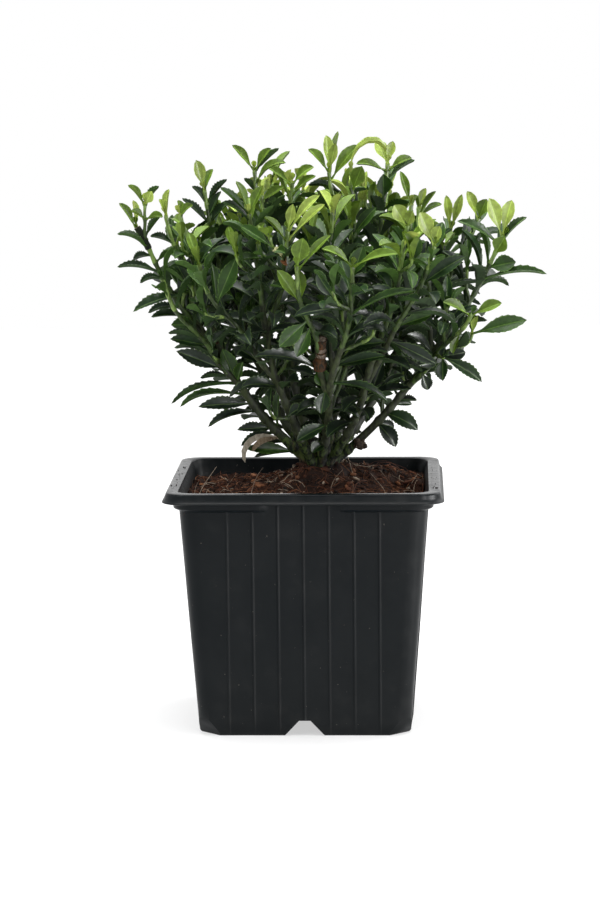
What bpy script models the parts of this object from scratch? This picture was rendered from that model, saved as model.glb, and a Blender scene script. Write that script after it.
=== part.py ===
"""A small-leaved Japanese spindle in its square nursery pot.

The plant stands upright, +Z up, with the origin in the middle of the pot's flat underside. +X is to the
right and +Y is away from the viewer. Every size is in metres, written as a number of millimetres times MM.

The pot is a thin tapered shell with a rolled rim, ribs, foot notches and drain holes. The soil fills it. A
low woody trunk forks at once into boughs, and each bough carries one mass of foliage: a leader with side
shoots, and leaves in crossed pairs that are fused to them.
"""

import math
import random

import bmesh
import bpy
from mathutils import Matrix, Vector
from mathutils.bvhtree import BVHTree
from mathutils.kdtree import KDTree

MM = 0.001
GAP = 0.3 * MM  # between pieces that touch on the real plant

# Pot: outside sizes of the standard nine centimetre square pot.
POT_HEIGHT = 80 * MM
BODY_FOOT_WIDTH = 68.4 * MM
BODY_TOP_WIDTH = 79.8 * MM
BODY_TOP = 76.7 * MM  # height of the underside of the rim
BODY_CORNER_FOOT = 5 * MM
BODY_CORNER_TOP = 6 * MM
WALL = 0.8 * MM
FLOOR = 1 * MM
CORNER_STEPS = 4
RIM_WIDTH = 90 * MM
RIM_TOP_WIDTH = 87.7 * MM
RIM_FACE = 2.3 * MM  # height of the rim's upright face, above its flared lower edge
RIM_SKIN = 1 * MM
RIM_CORNER = 7 * MM
MOUTH_WIDTH = 79.6 * MM
MOUTH_DEPTH = 1.6 * MM
SHOULDER_PROUD = 1.8 * MM
SHOULDER_HEIGHT = 3 * MM
SHOULDER_EDGE = 0.9 * MM
SHOULDER_GAP = 21.7 * MM
SHOULDER_RAMP = 3 * MM
RIB_SPACING = 8.1 * MM
RIB_WIDTH = 0.9 * MM
RIB_PROUD = 0.45 * MM
RIB_SUNK = 0.3 * MM
RIBS_EACH_SIDE = 3  # of the middle rib
NOTCH_FOOT = 13 * MM
NOTCH_TOP = 3.3 * MM
NOTCH_HEIGHT = 5.2 * MM
NOTCH_INNER_END = 12 * MM  # from the pot's middle
DRAIN_RADIUS = 2.2 * MM
DRAIN_PLACE = 21 * MM
FOOT_CUT_LEG = 7.5 * MM
FOOT_CUT_SLOPE = 0.6  # how far the cut moves outwards for each unit of height
FOOT_CUTTER_SIZE = 30 * MM
BEYOND = 4 * MM  # how far a cutter runs past what it cuts

# Soil: its top is lumpy, high round the stems and low in the back corners.
SOIL_EDGE = 74.2 * MM
SOIL_MOUND = 5.3 * MM
SOIL_MOUND_SPREAD = 23 * MM
SOIL_RIGHT_RISE = 2.4 * MM
SOIL_LUMP = 0.5 * MM
SOIL_RINGS = (1.0, 0.9, 0.76, 0.6, 0.44, 0.3)  # shares of the top's width, from the edge inwards
SOIL_PATCH = 1.2  # radius of the level patch under the trunk, against the trunk's own
SOIL_RIGHT_PLACE = (30 * MM, 12 * MM)
SOIL_RIGHT_SIZE = (14 * MM, 16 * MM)

# Trunk: a low woody crown at ground level.
TRUNK_X = 4.5 * MM
TRUNK_Y = 3 * MM
GROUND = 79.5 * MM
TRUNK_FOOT = GROUND + GAP
TRUNK_RADIUS = 7.2 * MM
TRUNK_PROFILE = ((0, 1), (1, 0.84), (2.2, 0.72), (3.4, 0.52), (4.2, 0.26))  # height in mm, share of radius
TRUNK_LOBES = 5
TRUNK_LOBE_DEPTH = 0.1
TRUNK_SIDES = 15

# Limbs: every bough and its leader are one curve from the trunk to the leader's tip.
LIMB_START = 1.4 * MM  # from the trunk's axis
LIMB_START_HEIGHT = 1.5 * MM
STUB_LENGTH = 7.5 * MM  # the first of each limb, which is part of the trunk
BOUGH_SHARE = 0.15  # of the limb, to the end of its bough
LIMB_RADIUS = 0.9 * MM  # at its foot, times the square root of how many shoots it carries
LIMB_TIP_RADIUS = 0.6 * MM
SIDE_FOOT_RADIUS = 1.05 * MM
SIDE_TIP_RADIUS = 0.55 * MM
CURVE_HOLD = 0.36  # of the distance between a limb's ends, how far it keeps each end's direction
TIP_LEAN = 0.45  # outward lean of a tip against its rise, for a shoot that reaches as far as LEAN_REACH
LEAN_REACH = 60 * MM
WANDER = 1.3 * MM  # how far a limb strays sideways from its even curve
LOWEST_FORK = 0.3
HIGHEST_FORK = 0.58
LIMB_SIDES = (7, 4, 3)  # of a bough, a leader and a side shoot
TWIG_STEP = 9.5 * MM
BOUGH_STEP = 4 * MM

# The masses of foliage. The first two numbers are the bearing round the trunk, in degrees from +X towards
# +Y, and the steepness, in degrees, with which the bough leaves the trunk. Each shoot's growing tip is then
# given as its bearing, its reach from the trunk and its height, in millimetres. The first is the leader's.
MASSES = {
    "left": (188, 46, ((187, 59, 163), (184, 51, 170), (199, 47, 167), (203, 54, 146))),
    "left_back": (154, 52, ((172, 38, 173), (160, 53, 161), (146, 42, 168))),
    "back_left": (120, 48, ((128, 50, 160), (118, 38, 169), (134, 56, 145))),
    "back": (88, 46, ((92, 49, 163), (100, 35, 171), (84, 54, 147), (76, 41, 168))),
    "back_right": (55, 50, ((58, 50, 162), (50, 36, 171), (44, 56, 148))),
    "right_back": (21, 52, ((24, 49, 164), (27, 38, 171), (5, 54, 167))),
    "right": (347, 40, ((353, 61, 160), (338, 33, 172), (336, 56, 140))),
    "front_right": (312, 46, ((305, 50, 164), (311, 57, 158), (318, 40, 168))),
    "front": (275, 52, ((284, 49, 152), (263, 47, 154), (280, 30, 168))),
    "front_left": (232, 48, ((241, 43, 168), (257, 39, 164), (222, 50, 152))),
    "middle_left": (150, 76, ((149, 25, 179), (114, 23, 175), (195, 19, 172))),
    "middle_right": (330, 80, ((26, 25, 181), (30, 4, 179), (322, 14, 174))),
}

# Leaves, in crossed pairs. A leaf's age runs from 0 at a shoot's tip to 1 at FULL_AGE below it, and each two
# values are for those two ages: small, upright and close together at first, then large and spreading.
FULL_AGE = 26 * MM
NODE_SPACING = (3.8 * MM, 10 * MM)
LEAF_LENGTH = (12.5 * MM, 20 * MM)
LEAF_WIDTH = (6.4 * MM, 8.6 * MM)
LEAF_ANGLE = (24, 56)
LEAF_DROOP = (0.02, 0.2)  # how far the tip hangs, as a share of the length
LEAF_THICKNESS = 0.7 * MM
LEAF_FOLD = 0.9 * MM  # how far the sides stand above the middle
WIDEST = 0.54  # of a leaf's length, where it is widest
ROOT_BEHIND = 0.2 * MM  # how far a leaf's root lies past the twig's middle
ROOT_SHARE = 0.3  # of a leaf's length, the part that may lie close to its own twig
TIP_CLEAR = 0.8 * MM  # from a shoot's end to its first pair of leaves
BARE_FOOT = 2.5 * MM
CLEARANCE = 0.25 * MM
TRIES = 6
SHORTER_EACH_TRY = 0.07
SPACE_MARGIN = 4 * MM  # how far a leaf may reach past the middle between two masses
SEED = 11


def material(name, color, roughness, metallic=0.0):
    made = bpy.data.materials.new(name)
    made.use_nodes = True
    shader = made.node_tree.nodes["Principled BSDF"]
    shader.inputs["Base Color"].default_value = (*color, 1)
    shader.inputs["Roughness"].default_value = roughness
    shader.inputs["Metallic"].default_value = metallic
    return made


def new_collection(name, visible=True):
    collection = bpy.data.collections.new(name)
    collection.hide_render = not visible
    bpy.context.scene.collection.children.link(collection)
    return collection


def add_object(name, mesh, collection):
    made = bpy.data.objects.new(name, mesh)
    collection.objects.link(made)
    if collection.hide_render:
        made.hide_render = True
        made.display_type = "WIRE"
    return made


def mesh_from(name, bm):
    bm.normal_update()
    bmesh.ops.recalc_face_normals(bm, faces=bm.faces)
    mesh = bpy.data.meshes.new(name)
    bm.to_mesh(mesh)
    bm.free()
    return mesh


def boolean(target, operation, other, solver="EXACT"):
    """Cuts target with, or joins to it, an object or every object of a collection."""
    modifier = target.modifiers.new(operation.title(), "BOOLEAN")
    modifier.operation = operation
    modifier.solver = solver
    if isinstance(other, bpy.types.Collection):
        modifier.operand_type = "COLLECTION"
        modifier.collection = other
    else:
        modifier.object = other


def loft(name, rings):
    """A closed mesh through rings of the same number of points, from the lowest to the highest."""
    bm = bmesh.new()
    made = [[bm.verts.new(point) for point in ring] for ring in rings]
    count = len(rings[0])
    for low, high in zip(made, made[1:]):
        for i in range(count):
            j = (i + 1) % count
            bm.faces.new((low[i], low[j], high[j], high[i]))
    bm.faces.new(reversed(made[0]))
    bm.faces.new(made[-1])
    return mesh_from(name, bm)


def rounded_square(width, radius, height):
    """Points round a square with round corners, centred on the pot's axis."""
    inner = width / 2 - radius
    points = []
    for corner in range(4):
        middle = math.radians(45 + 90 * corner)
        right = math.copysign(inner, math.cos(middle))
        back = math.copysign(inner, math.sin(middle))
        centre = Vector((right, back, height))
        for step in range(CORNER_STEPS + 1):
            angle = math.radians(90 * corner + 90 * step / CORNER_STEPS)
            points.append(centre + radius * Vector((math.cos(angle), math.sin(angle), 0)))
    return points


def shaped_block(name, place):
    """A cube whose corners, at -1 or 1 along each axis, go where place puts them."""
    bm = bmesh.new()
    bmesh.ops.create_cube(bm, size=2)
    for vertex in bm.verts:
        vertex.co = place(*vertex.co)
    return mesh_from(name, bm)


def body_width(height):
    """The body's outside width at a height."""
    return BODY_FOOT_WIDTH + (BODY_TOP_WIDTH - BODY_FOOT_WIDTH) * height / BODY_TOP


def turned(mesh, side):
    """The mesh, which is made for the front, turned to one of the pot's four sides."""
    mesh.transform(Matrix.Rotation(math.radians(90 * side), 4, "Z"))
    return mesh


def channel_prism(name, grow, inner_end):
    """The wedge of a foot notch and the channel behind it, on the front, larger all round by grow."""

    def place(x, y, z):
        height = -BEYOND if z < 0 else NOTCH_HEIGHT + grow
        slope = (NOTCH_FOOT - NOTCH_TOP) / NOTCH_HEIGHT
        width = NOTCH_FOOT + 2 * grow - slope * height
        depth = -BODY_TOP_WIDTH / 2 - BEYOND if y < 0 else -inner_end
        return Vector((x * width / 2, depth, height))

    return shaped_block(name, place)


def foot_cutter(name, inset):
    """A block whose slanted face cuts off the front left foot corner, inset from the outside."""
    start = (BODY_FOOT_WIDTH - FOOT_CUT_LEG) / math.sqrt(2) - inset

    def place(x, y, z):
        height = -BEYOND if z < 0 else FOOT_CUTTER_SIZE
        face = start + FOOT_CUT_SLOPE * height
        outward = face + FOOT_CUTTER_SIZE if y < 0 else face
        across = x * FOOT_CUTTER_SIZE
        diagonal = Vector((-1, -1, 0)) / math.sqrt(2)
        sideways = Vector((-1, 1, 0)) / math.sqrt(2)
        return diagonal * outward + sideways * across + Vector((0, 0, height))

    return shaped_block(name, place)


def rib_block(name, place_along, top):
    """One rib on the front, from the foot to top, following the body's taper."""

    def place(x, y, z):
        height = 0 if z < 0 else top
        face = -body_width(height) / 2
        depth = face - RIB_PROUD if y < 0 else face + RIB_SUNK
        return Vector((place_along + x * RIB_WIDTH / 2, depth, height))

    return shaped_block(name, place)


def shoulder_gap_block(name):
    """What parts the shoulder in the middle of the front, wider at its outside so that the ends ramp."""

    def place(x, y, z):
        height = BODY_TOP - 2 * SHOULDER_HEIGHT if z < 0 else POT_HEIGHT
        face = -body_width(height) / 2
        outside = 2 if y < 0 else 0
        width = SHOULDER_GAP + 2 * outside * SHOULDER_RAMP
        return Vector((x * width / 2, face - outside * SHOULDER_PROUD, height))

    return shaped_block(name, place)


def shoulder_mesh(name):
    low = BODY_TOP - SHOULDER_HEIGHT
    top = POT_HEIGHT - RIM_SKIN / 2
    proud = 2 * SHOULDER_PROUD
    width = body_width(low)
    edge = SHOULDER_EDGE
    return loft(name, [
        rounded_square(width + 0.3 * proud, BODY_CORNER_TOP, low),
        rounded_square(width + 0.8 * proud, BODY_CORNER_TOP + edge / 2, low + edge / 2),
        rounded_square(width + proud, BODY_CORNER_TOP + edge, low + edge),
        rounded_square(BODY_TOP_WIDTH + proud, BODY_CORNER_TOP + edge, top),
    ])


def rim_rings():
    return [
        rounded_square(RIM_WIDTH, RIM_CORNER + 0.8 * MM, BODY_TOP),
        rounded_square(RIM_WIDTH - 0.3 * MM, RIM_CORNER + 0.7 * MM, BODY_TOP + 0.4 * MM),
        rounded_square(RIM_TOP_WIDTH + 0.6 * MM, RIM_CORNER, POT_HEIGHT - RIM_FACE),
        rounded_square(RIM_TOP_WIDTH, RIM_CORNER - 0.3 * MM, POT_HEIGHT - 0.35 * MM),
        rounded_square(RIM_TOP_WIDTH - 0.7 * MM, RIM_CORNER - 0.6 * MM, POT_HEIGHT),
    ]


def rim_channel_rings():
    """The hollow under the rim, between its outer skin and the body."""
    return [
        rounded_square(RIM_WIDTH - 2 * RIM_SKIN, RIM_CORNER, BODY_TOP - BEYOND),
        rounded_square(RIM_WIDTH - 2 * RIM_SKIN, RIM_CORNER, BODY_TOP),
        rounded_square(RIM_TOP_WIDTH - 2 * RIM_SKIN, RIM_CORNER - RIM_SKIN, POT_HEIGHT - RIM_SKIN),
    ]


def cavity_rings(shrink, floor):
    """The room inside the pot, smaller all round by shrink, up to the mouth."""
    inside = 2 * (WALL + shrink)
    neck = POT_HEIGHT - MOUTH_DEPTH
    return [
        rounded_square(body_width(floor) - inside, BODY_CORNER_FOOT - WALL, floor),
        rounded_square(body_width(neck) - inside, BODY_CORNER_TOP - WALL, neck),
    ]


def make_pot(parts, cutters, finish):
    pot = add_object("pot", loft("pot", [
        rounded_square(BODY_FOOT_WIDTH, BODY_CORNER_FOOT, 0),
        rounded_square(body_width(POT_HEIGHT - RIM_SKIN / 2), BODY_CORNER_TOP, POT_HEIGHT - RIM_SKIN / 2),
    ]), parts)
    pot.data.materials.append(finish)

    rim = add_object("pot_rim", loft("pot_rim", rim_rings()), cutters)
    rim_channel = add_object("pot_rim_channel", loft("pot_rim_channel", rim_channel_rings()), cutters)
    boolean(rim, "DIFFERENCE", rim_channel)

    shoulder = add_object("pot_shoulder", shoulder_mesh("pot_shoulder"), cutters)
    gaps = new_collection("pot_shoulder_gaps", visible=False)
    for side in range(4):
        name = f"pot_shoulder_gap_{side}"
        add_object(name, turned(shoulder_gap_block(name), side), gaps)
    boolean(shoulder, "DIFFERENCE", gaps)

    added = new_collection("pot_added", visible=False)
    for side in range(4):
        for number in range(-RIBS_EACH_SIDE, RIBS_EACH_SIDE + 1):
            name = f"pot_rib_{side}_{number + RIBS_EACH_SIDE}"
            along = number * RIB_SPACING
            under_shoulder = abs(along) > SHOULDER_GAP / 2
            top = BODY_TOP - SHOULDER_HEIGHT / 2 if under_shoulder else BODY_TOP + SHOULDER_EDGE
            add_object(name, turned(rib_block(name, along, top), side), added)
    for piece in (rim, shoulder):
        boolean(pot, "UNION", piece)
    boolean(pot, "UNION", added)

    cavity = add_object("pot_cavity", loft("pot_cavity", cavity_rings(0, FLOOR) + [
        rounded_square(MOUTH_WIDTH, BODY_CORNER_TOP, POT_HEIGHT),
        rounded_square(MOUTH_WIDTH, BODY_CORNER_TOP, POT_HEIGHT + BEYOND),
    ]), cutters)
    boolean(cavity, "DIFFERENCE", foot_shapes("pot_cavity", FLOOR))
    boolean(pot, "DIFFERENCE", cavity)
    boolean(pot, "DIFFERENCE", foot_shapes("pot_foot", 0))

    drains = new_collection("pot_drains", visible=False)
    for side in range(4):
        bm = bmesh.new()
        bmesh.ops.create_cone(bm, cap_ends=True, segments=10, radius1=DRAIN_RADIUS, radius2=DRAIN_RADIUS,
                              depth=2 * BEYOND,
                              matrix=Matrix.Translation((0, -DRAIN_PLACE, NOTCH_HEIGHT)))
        name = f"pot_drain_{side}"
        add_object(name, turned(mesh_from(name, bm), side), drains)
    boolean(pot, "DIFFERENCE", drains)
    pot.data.shade_smooth()
    pot.data.set_sharp_from_angle(angle=math.radians(30))


def foot_shapes(name, grow):
    """A hidden collection of the four notch channels and the four foot corners, larger all round by grow."""
    shapes = new_collection(f"{name}_shapes", visible=False)
    for side in range(4):
        channel = f"{name}_channel_{side}"
        add_object(channel, turned(channel_prism(channel, grow, NOTCH_INNER_END - grow), side), shapes)
        corner = f"{name}_corner_{side}"
        add_object(corner, turned(foot_cutter(corner, grow), side), shapes)
    return shapes


def soil_height(x, y):
    """The height of the soil at a place, level under the trunk."""
    across = x - TRUNK_X
    along = y - TRUNK_Y
    from_trunk = math.hypot(across, along)
    height = SOIL_EDGE + SOIL_MOUND * math.exp(-((from_trunk / SOIL_MOUND_SPREAD) ** 2))
    right_across = (x - SOIL_RIGHT_PLACE[0]) / SOIL_RIGHT_SIZE[0]
    right_along = (y - SOIL_RIGHT_PLACE[1]) / SOIL_RIGHT_SIZE[1]
    height += SOIL_RIGHT_RISE * math.exp(-(right_across**2 + right_along**2))
    lumps = math.sin(x / (3.1 * MM) + 1) * math.cos(y / (4.3 * MM)) + math.sin((x + y) / (5.2 * MM))
    away = min(1, from_trunk / (2 * TRUNK_RADIUS)) ** 2
    return height + SOIL_LUMP * lumps * away


def ground_height(x, y):
    """The height of what lies under a place: the soil, or the pot's rim."""
    return soil_height(x, y) if max(abs(x), abs(y)) < MOUTH_WIDTH / 2 else POT_HEIGHT


def make_soil(parts, finish):
    """The root ball's soil, which fills the pot up to its lumpy top."""
    floor = FLOOR + GAP
    rings = cavity_rings(GAP, floor)[:1]
    top_width = body_width(SOIL_EDGE) - 2 * (WALL + GAP)
    for share in SOIL_RINGS:
        ring = rounded_square(top_width * share, (BODY_CORNER_TOP - WALL) * share, 0)
        shift = 1 - share
        moved = []
        for point in ring:
            x = point.x + TRUNK_X * shift
            y = point.y + TRUNK_Y * shift
            moved.append(Vector((x, y, soil_height(x, y))))
        rings.append(moved)
    patch = TRUNK_RADIUS * SOIL_PATCH
    count = len(rings[0])
    turns = [math.tau * i / count for i in range(count)]
    rings.append([Vector((TRUNK_X + patch * math.cos(turn), TRUNK_Y + patch * math.sin(turn), GROUND))
                  for turn in turns])
    soil = add_object("soil", loft("soil", rings), parts)
    soil.data.materials.append(finish)
    boolean(soil, "DIFFERENCE", foot_shapes("soil", FLOOR + GAP))


class Limb:
    """A tapering curve that leaves start in one direction and arrives at end in another."""

    SAMPLES = 48

    def __init__(self, start, leaving, end, arriving, foot_radius, tip_radius, rng):
        hold = CURVE_HOLD * (end - start).length
        first = start + leaving.normalized() * hold
        second = end - arriving.normalized() * hold
        turn = rng.uniform(0, math.tau)
        stray = Vector((math.cos(turn), math.sin(turn), 0)) * WANDER
        self.points = []
        for step in range(self.SAMPLES + 1):
            t = step / self.SAMPLES
            u = 1 - t
            even = start * u**3 + first * 3 * u * u * t + second * 3 * u * t * t + end * t**3
            self.points.append(even + stray * math.sin(math.pi * t) * math.sin(3 * math.pi * t))
        self.along = [0.0]
        for low, high in zip(self.points, self.points[1:]):
            self.along.append(self.along[-1] + (high - low).length)
        self.length = self.along[-1]
        self.foot_radius = foot_radius
        self.tip_radius = tip_radius

    def at(self, distance):
        """The point at a distance along the curve, and its direction there."""
        distance = min(max(distance, 0), self.length)
        i = 1
        while i < self.SAMPLES and self.along[i] < distance:
            i += 1
        low, high = self.points[i - 1], self.points[i]
        share = (distance - self.along[i - 1]) / (self.along[i] - self.along[i - 1])
        return low.lerp(high, share), (high - low).normalized()

    def radius(self, distance):
        share = distance / self.length
        return self.foot_radius + (self.tip_radius - self.foot_radius) * share**0.8


def section(name, sides, collection):
    """A regular outline one millimetre in radius, for a tube to follow."""
    curve = bpy.data.curves.new(name, "CURVE")
    spline = curve.splines.new("POLY")
    spline.points.add(sides - 1)
    spline.use_cyclic_u = True
    for i, point in enumerate(spline.points):
        turn = math.tau * i / sides
        point.co = (MM * math.cos(turn), MM * math.sin(turn), 0, 1)
    return add_object(name, curve, collection)


def tube(name, limb, start, end, step, outline, collection):
    """A stretch of a limb as a closed mesh."""
    curve = bpy.data.curves.new(name, "CURVE")
    curve.dimensions = "3D"
    curve.bevel_mode = "OBJECT"
    curve.bevel_object = outline
    curve.use_fill_caps = True
    pieces = max(1, round((end - start) / step))
    spline = curve.splines.new("POLY")
    spline.points.add(pieces)
    for i, point in enumerate(spline.points):
        distance = start + (end - start) * i / pieces
        point.co = (*limb.at(distance)[0], 1)
        point.radius = limb.radius(distance) / MM
    guide = bpy.data.objects.new(name + "_guide", curve)
    collection.objects.link(guide)
    graph = bpy.context.evaluated_depsgraph_get()
    mesh = bpy.data.meshes.new_from_object(guide.evaluated_get(graph))
    bpy.data.objects.remove(guide)
    bpy.data.curves.remove(curve)
    bm = bmesh.new()
    bm.from_mesh(mesh)
    bpy.data.meshes.remove(mesh)
    bmesh.ops.remove_doubles(bm, verts=bm.verts, dist=0.001 * MM)
    return add_object(name, mesh_from(name, bm), collection)


def polar(bearing, reach, height):
    """A place round the trunk's axis, from degrees and millimetres."""
    turn = math.radians(bearing)
    across = reach * MM * math.cos(turn)
    along = reach * MM * math.sin(turn)
    return Vector((TRUNK_X + across, TRUNK_Y + along, height * MM))


def outward(point):
    """The level direction from the trunk's axis to a point."""
    away = Vector((point.x - TRUNK_X, point.y - TRUNK_Y, 0))
    return away.normalized()


def tip_direction(tip):
    reach = math.hypot(tip.x - TRUNK_X, tip.y - TRUNK_Y)
    return Vector((0, 0, 1)) + outward(tip) * TIP_LEAN * (reach / LEAN_REACH) ** 2


def plan_limbs():
    """For each mass, its leader from the trunk on, and the side shoots that fork from it."""
    plan = {}
    rng = random.Random(SEED)
    for name, (bearing, rise, shoots) in MASSES.items():
        tips = [polar(*shoot) for shoot in shoots]
        turn = math.radians(bearing)
        away = Vector((math.cos(turn), math.sin(turn), 0))
        steep = math.radians(rise)
        leaving = away * math.cos(steep) + Vector((0, 0, math.sin(steep)))
        start = Vector((TRUNK_X, TRUNK_Y, TRUNK_FOOT + LIMB_START_HEIGHT)) + away * LIMB_START
        foot_radius = LIMB_RADIUS * math.sqrt(len(tips))
        leader = Limb(start, leaving, tips[0], tip_direction(tips[0]), foot_radius, LIMB_TIP_RADIUS, rng)
        sides = []
        by_height = sorted(tips[1:], key=lambda tip: tip.z)
        for number, tip in enumerate(by_height):
            share = LOWEST_FORK + (HIGHEST_FORK - LOWEST_FORK) * (number + 0.5) / len(by_height)
            fork, direction = leader.at(share * leader.length)
            toward = (tip - fork).normalized()
            foot_radius = min(SIDE_FOOT_RADIUS, 0.92 * leader.radius(share * leader.length))
            leaving = direction + toward
            sides.append(Limb(fork, leaving, tip, tip_direction(tip), foot_radius, SIDE_TIP_RADIUS, rng))
        plan[name] = (leader, sides)
    return plan


def make_trunk(parts, plan, outline, finish):
    """The low woody crown, with the first of every limb fused to it."""
    rings = []
    for height, share in TRUNK_PROFILE:
        ring = []
        for side in range(TRUNK_SIDES):
            turn = math.tau * side / TRUNK_SIDES
            lobe = 1 + TRUNK_LOBE_DEPTH * share * math.cos(TRUNK_LOBES * turn)
            radius = TRUNK_RADIUS * share * lobe
            ring.append(Vector((TRUNK_X + radius * math.cos(turn), TRUNK_Y + radius * math.sin(turn),
                                TRUNK_FOOT + height * MM)))
        rings.append(ring)
    trunk = add_object("trunk", loft("trunk", rings), parts)
    trunk.data.materials.append(finish)
    stubs = new_collection("trunk_stubs", visible=False)
    for name, (leader, _) in plan.items():
        tube(f"trunk_stub_{name}", leader, 0, STUB_LENGTH, BOUGH_STEP, outline, stubs)
    join(trunk, stubs)
    trunk.data.shade_smooth()
    return trunk


def leaf_mesh(name, root, axis, normal, length, width, thickness, droop, start=0.0, grow=0.0):
    """A thin folded leaf of eight faces, from start of its length to its tip, larger all round by grow."""
    bm = bmesh.new()
    bmesh.ops.create_uvsphere(bm, u_segments=4, v_segments=2, radius=1)
    across = axis.cross(normal)
    for vertex in bm.verts:
        x, y, z = vertex.co
        if z < -0.5:
            vertex.co = root + axis * (start * length - grow)
        elif z > 0.5:
            vertex.co = root + axis * (length + grow) - normal * droop * length
        else:
            middle = root + axis * WIDEST * length
            lift = y * (thickness / 2 + grow) + abs(x) * LEAF_FOLD
            vertex.co = middle + across * x * (width / 2 + grow) + normal * lift
    return mesh_from(name, bm)


def tree_of(mesh):
    return BVHTree.FromPolygons([v.co for v in mesh.vertices], [tuple(p.vertices) for p in mesh.polygons])


class Crown:
    """What is already in the crown, so that each new leaf can be kept clear of it."""

    def __init__(self, plan):
        self.solids = []
        count = sum(len(limb.points) for leader, sides in plan.values() for limb in (leader, *sides))
        self.limbs = KDTree(count)
        self.owners = []
        for name, (leader, sides) in plan.items():
            for limb in (leader, *sides):
                for point in limb.points:
                    self.limbs.insert(point, len(self.owners))
                    self.owners.append(name)
        self.limbs.balance()
        self.by_mass = {}
        for name, (leader, sides) in plan.items():
            points = [point for limb in (leader, *sides) for point in limb.points]
            own = KDTree(len(points))
            for i, point in enumerate(points):
                own.insert(point, i)
            own.balance()
            self.by_mass[name] = own

    def add(self, label, mesh):
        middle = sum((v.co for v in mesh.vertices), Vector()) / len(mesh.vertices)
        size = max((v.co - middle).length for v in mesh.vertices)
        self.solids.append((label, middle, size, tree_of(mesh)))

    def in_space(self, name, points):
        """Whether the points are above ground and in a mass's own space, half way to its neighbours."""
        for point in points:
            if point.z < ground_height(point.x, point.y) + CLEARANCE:
                return False
            _, index, nearest = self.limbs.find(point)
            if self.owners[index] == name:
                continue
            if self.by_mass[name].find(point)[2] > nearest + SPACE_MARGIN:
                return False
        return True

    def clear(self, whole, outer, own):
        """Whether a new leaf touches nothing, and its own twig and twin only with its root."""
        middle = sum((v.co for v in whole.vertices), Vector()) / len(whole.vertices)
        size = max((v.co - middle).length for v in whole.vertices)
        whole_tree = tree_of(whole)
        outer_tree = tree_of(outer)
        for label, centre, reach, tree in self.solids:
            if (centre - middle).length > reach + size:
                continue
            if (outer_tree if label in own else whole_tree).overlap(tree):
                return False
        return True


def aged(values, age):
    """A leaf's value between its youngest and its oldest."""
    return values[0] + (values[1] - values[0]) * age


def leaf_nodes(limb, first):
    """The distance along a shoot of each pair of leaves, from its tip down, and the pair's age."""
    nodes = []
    distance = limb.length - TIP_CLEAR
    while distance > first:
        age = min(1, (limb.length - distance) / FULL_AGE)
        nodes.append((distance, age))
        distance -= aged(NODE_SPACING, age)
    return nodes


def grow_leaves(name, label, limb, first, crown, pieces, rng):
    """Crossed pairs of leaves up one shoot, each fused root first to the twig."""
    side = Matrix.Rotation(math.radians(rng.uniform(-20, 20)), 3, "Z") @ outward(limb.points[-1])
    made = 0
    for number, (distance, age) in enumerate(leaf_nodes(limb, first)):
        point, tangent = limb.at(distance)
        side = (side - tangent * side.dot(tangent)).normalized()
        side = Matrix.Rotation(math.radians(90 + rng.uniform(-8, 8)), 3, tangent) @ side
        pair = []
        for facing in (side, -side):
            length = aged(LEAF_LENGTH, age) * rng.uniform(0.9, 1.06)
            angle = aged(LEAF_ANGLE, age) + rng.uniform(-6, 6)
            droop = aged(LEAF_DROOP, age) * rng.uniform(0.6, 1.3)
            width = aged(LEAF_WIDTH, age)
            for attempt in range(TRIES):
                lift = math.radians(angle + attempt * rng.uniform(-7, 7))
                roll = Matrix.Rotation(math.radians(attempt * rng.uniform(-9, 9)), 3, tangent)
                away = roll @ facing
                axis = tangent * math.cos(lift) + away * math.sin(lift)
                normal = tangent * math.sin(lift) - away * math.cos(lift)
                short = length * (1 - SHORTER_EACH_TRY * attempt)
                shape = (point - axis * ROOT_BEHIND, axis, normal, short, width, LEAF_THICKNESS, droop)
                whole = leaf_mesh("whole", *shape, grow=CLEARANCE)
                outer = leaf_mesh("outer", *shape, start=ROOT_SHARE, grow=CLEARANCE)
                corners = [vertex.co for vertex in outer.vertices]
                fits = crown.in_space(name, corners) and crown.clear(whole, outer, {label, *pair})
                bpy.data.meshes.remove(whole)
                bpy.data.meshes.remove(outer)
                if fits:
                    leaf = f"{label}_leaf_{number}_{len(pair)}"
                    mesh = leaf_mesh(leaf, *shape)
                    crown.add(leaf, mesh)
                    add_object(leaf, mesh, pieces)
                    pair.append(leaf)
                    made += 1
                    break
    return made


def largest_body(mesh):
    """Drops the loose scraps and sealed hollows that a union can leave."""
    bm = bmesh.new()
    bm.from_mesh(mesh)
    left = set(bm.verts)
    bodies = []
    while left:
        body = {left.pop()}
        edge = list(body)
        while edge:
            for link in edge.pop().link_edges:
                for vertex in link.verts:
                    if vertex in left:
                        left.remove(vertex)
                        body.add(vertex)
                        edge.append(vertex)
        bodies.append(body)
    bodies.sort(key=len)
    for body in bodies[:-1]:
        bmesh.ops.delete(bm, geom=list(body), context="VERTS")
    bm.to_mesh(mesh)
    bm.free()
    return len(bodies)


def join(target, pieces):
    """One Boolean union of an object with a collection's pieces, applied, which takes the pieces away."""
    boolean(target, "UNION", pieces, solver="MANIFOLD")
    graph = bpy.context.evaluated_depsgraph_get()
    joined = bpy.data.meshes.new_from_object(target.evaluated_get(graph))
    target.modifiers.clear()
    old = target.data
    target.data = joined
    bpy.data.meshes.remove(old)
    joined.name = target.name
    for piece in list(pieces.objects):
        mesh = piece.data
        bpy.data.objects.remove(piece)
        bpy.data.meshes.remove(mesh)
    bpy.data.collections.remove(pieces)
    return largest_body(joined)


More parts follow.
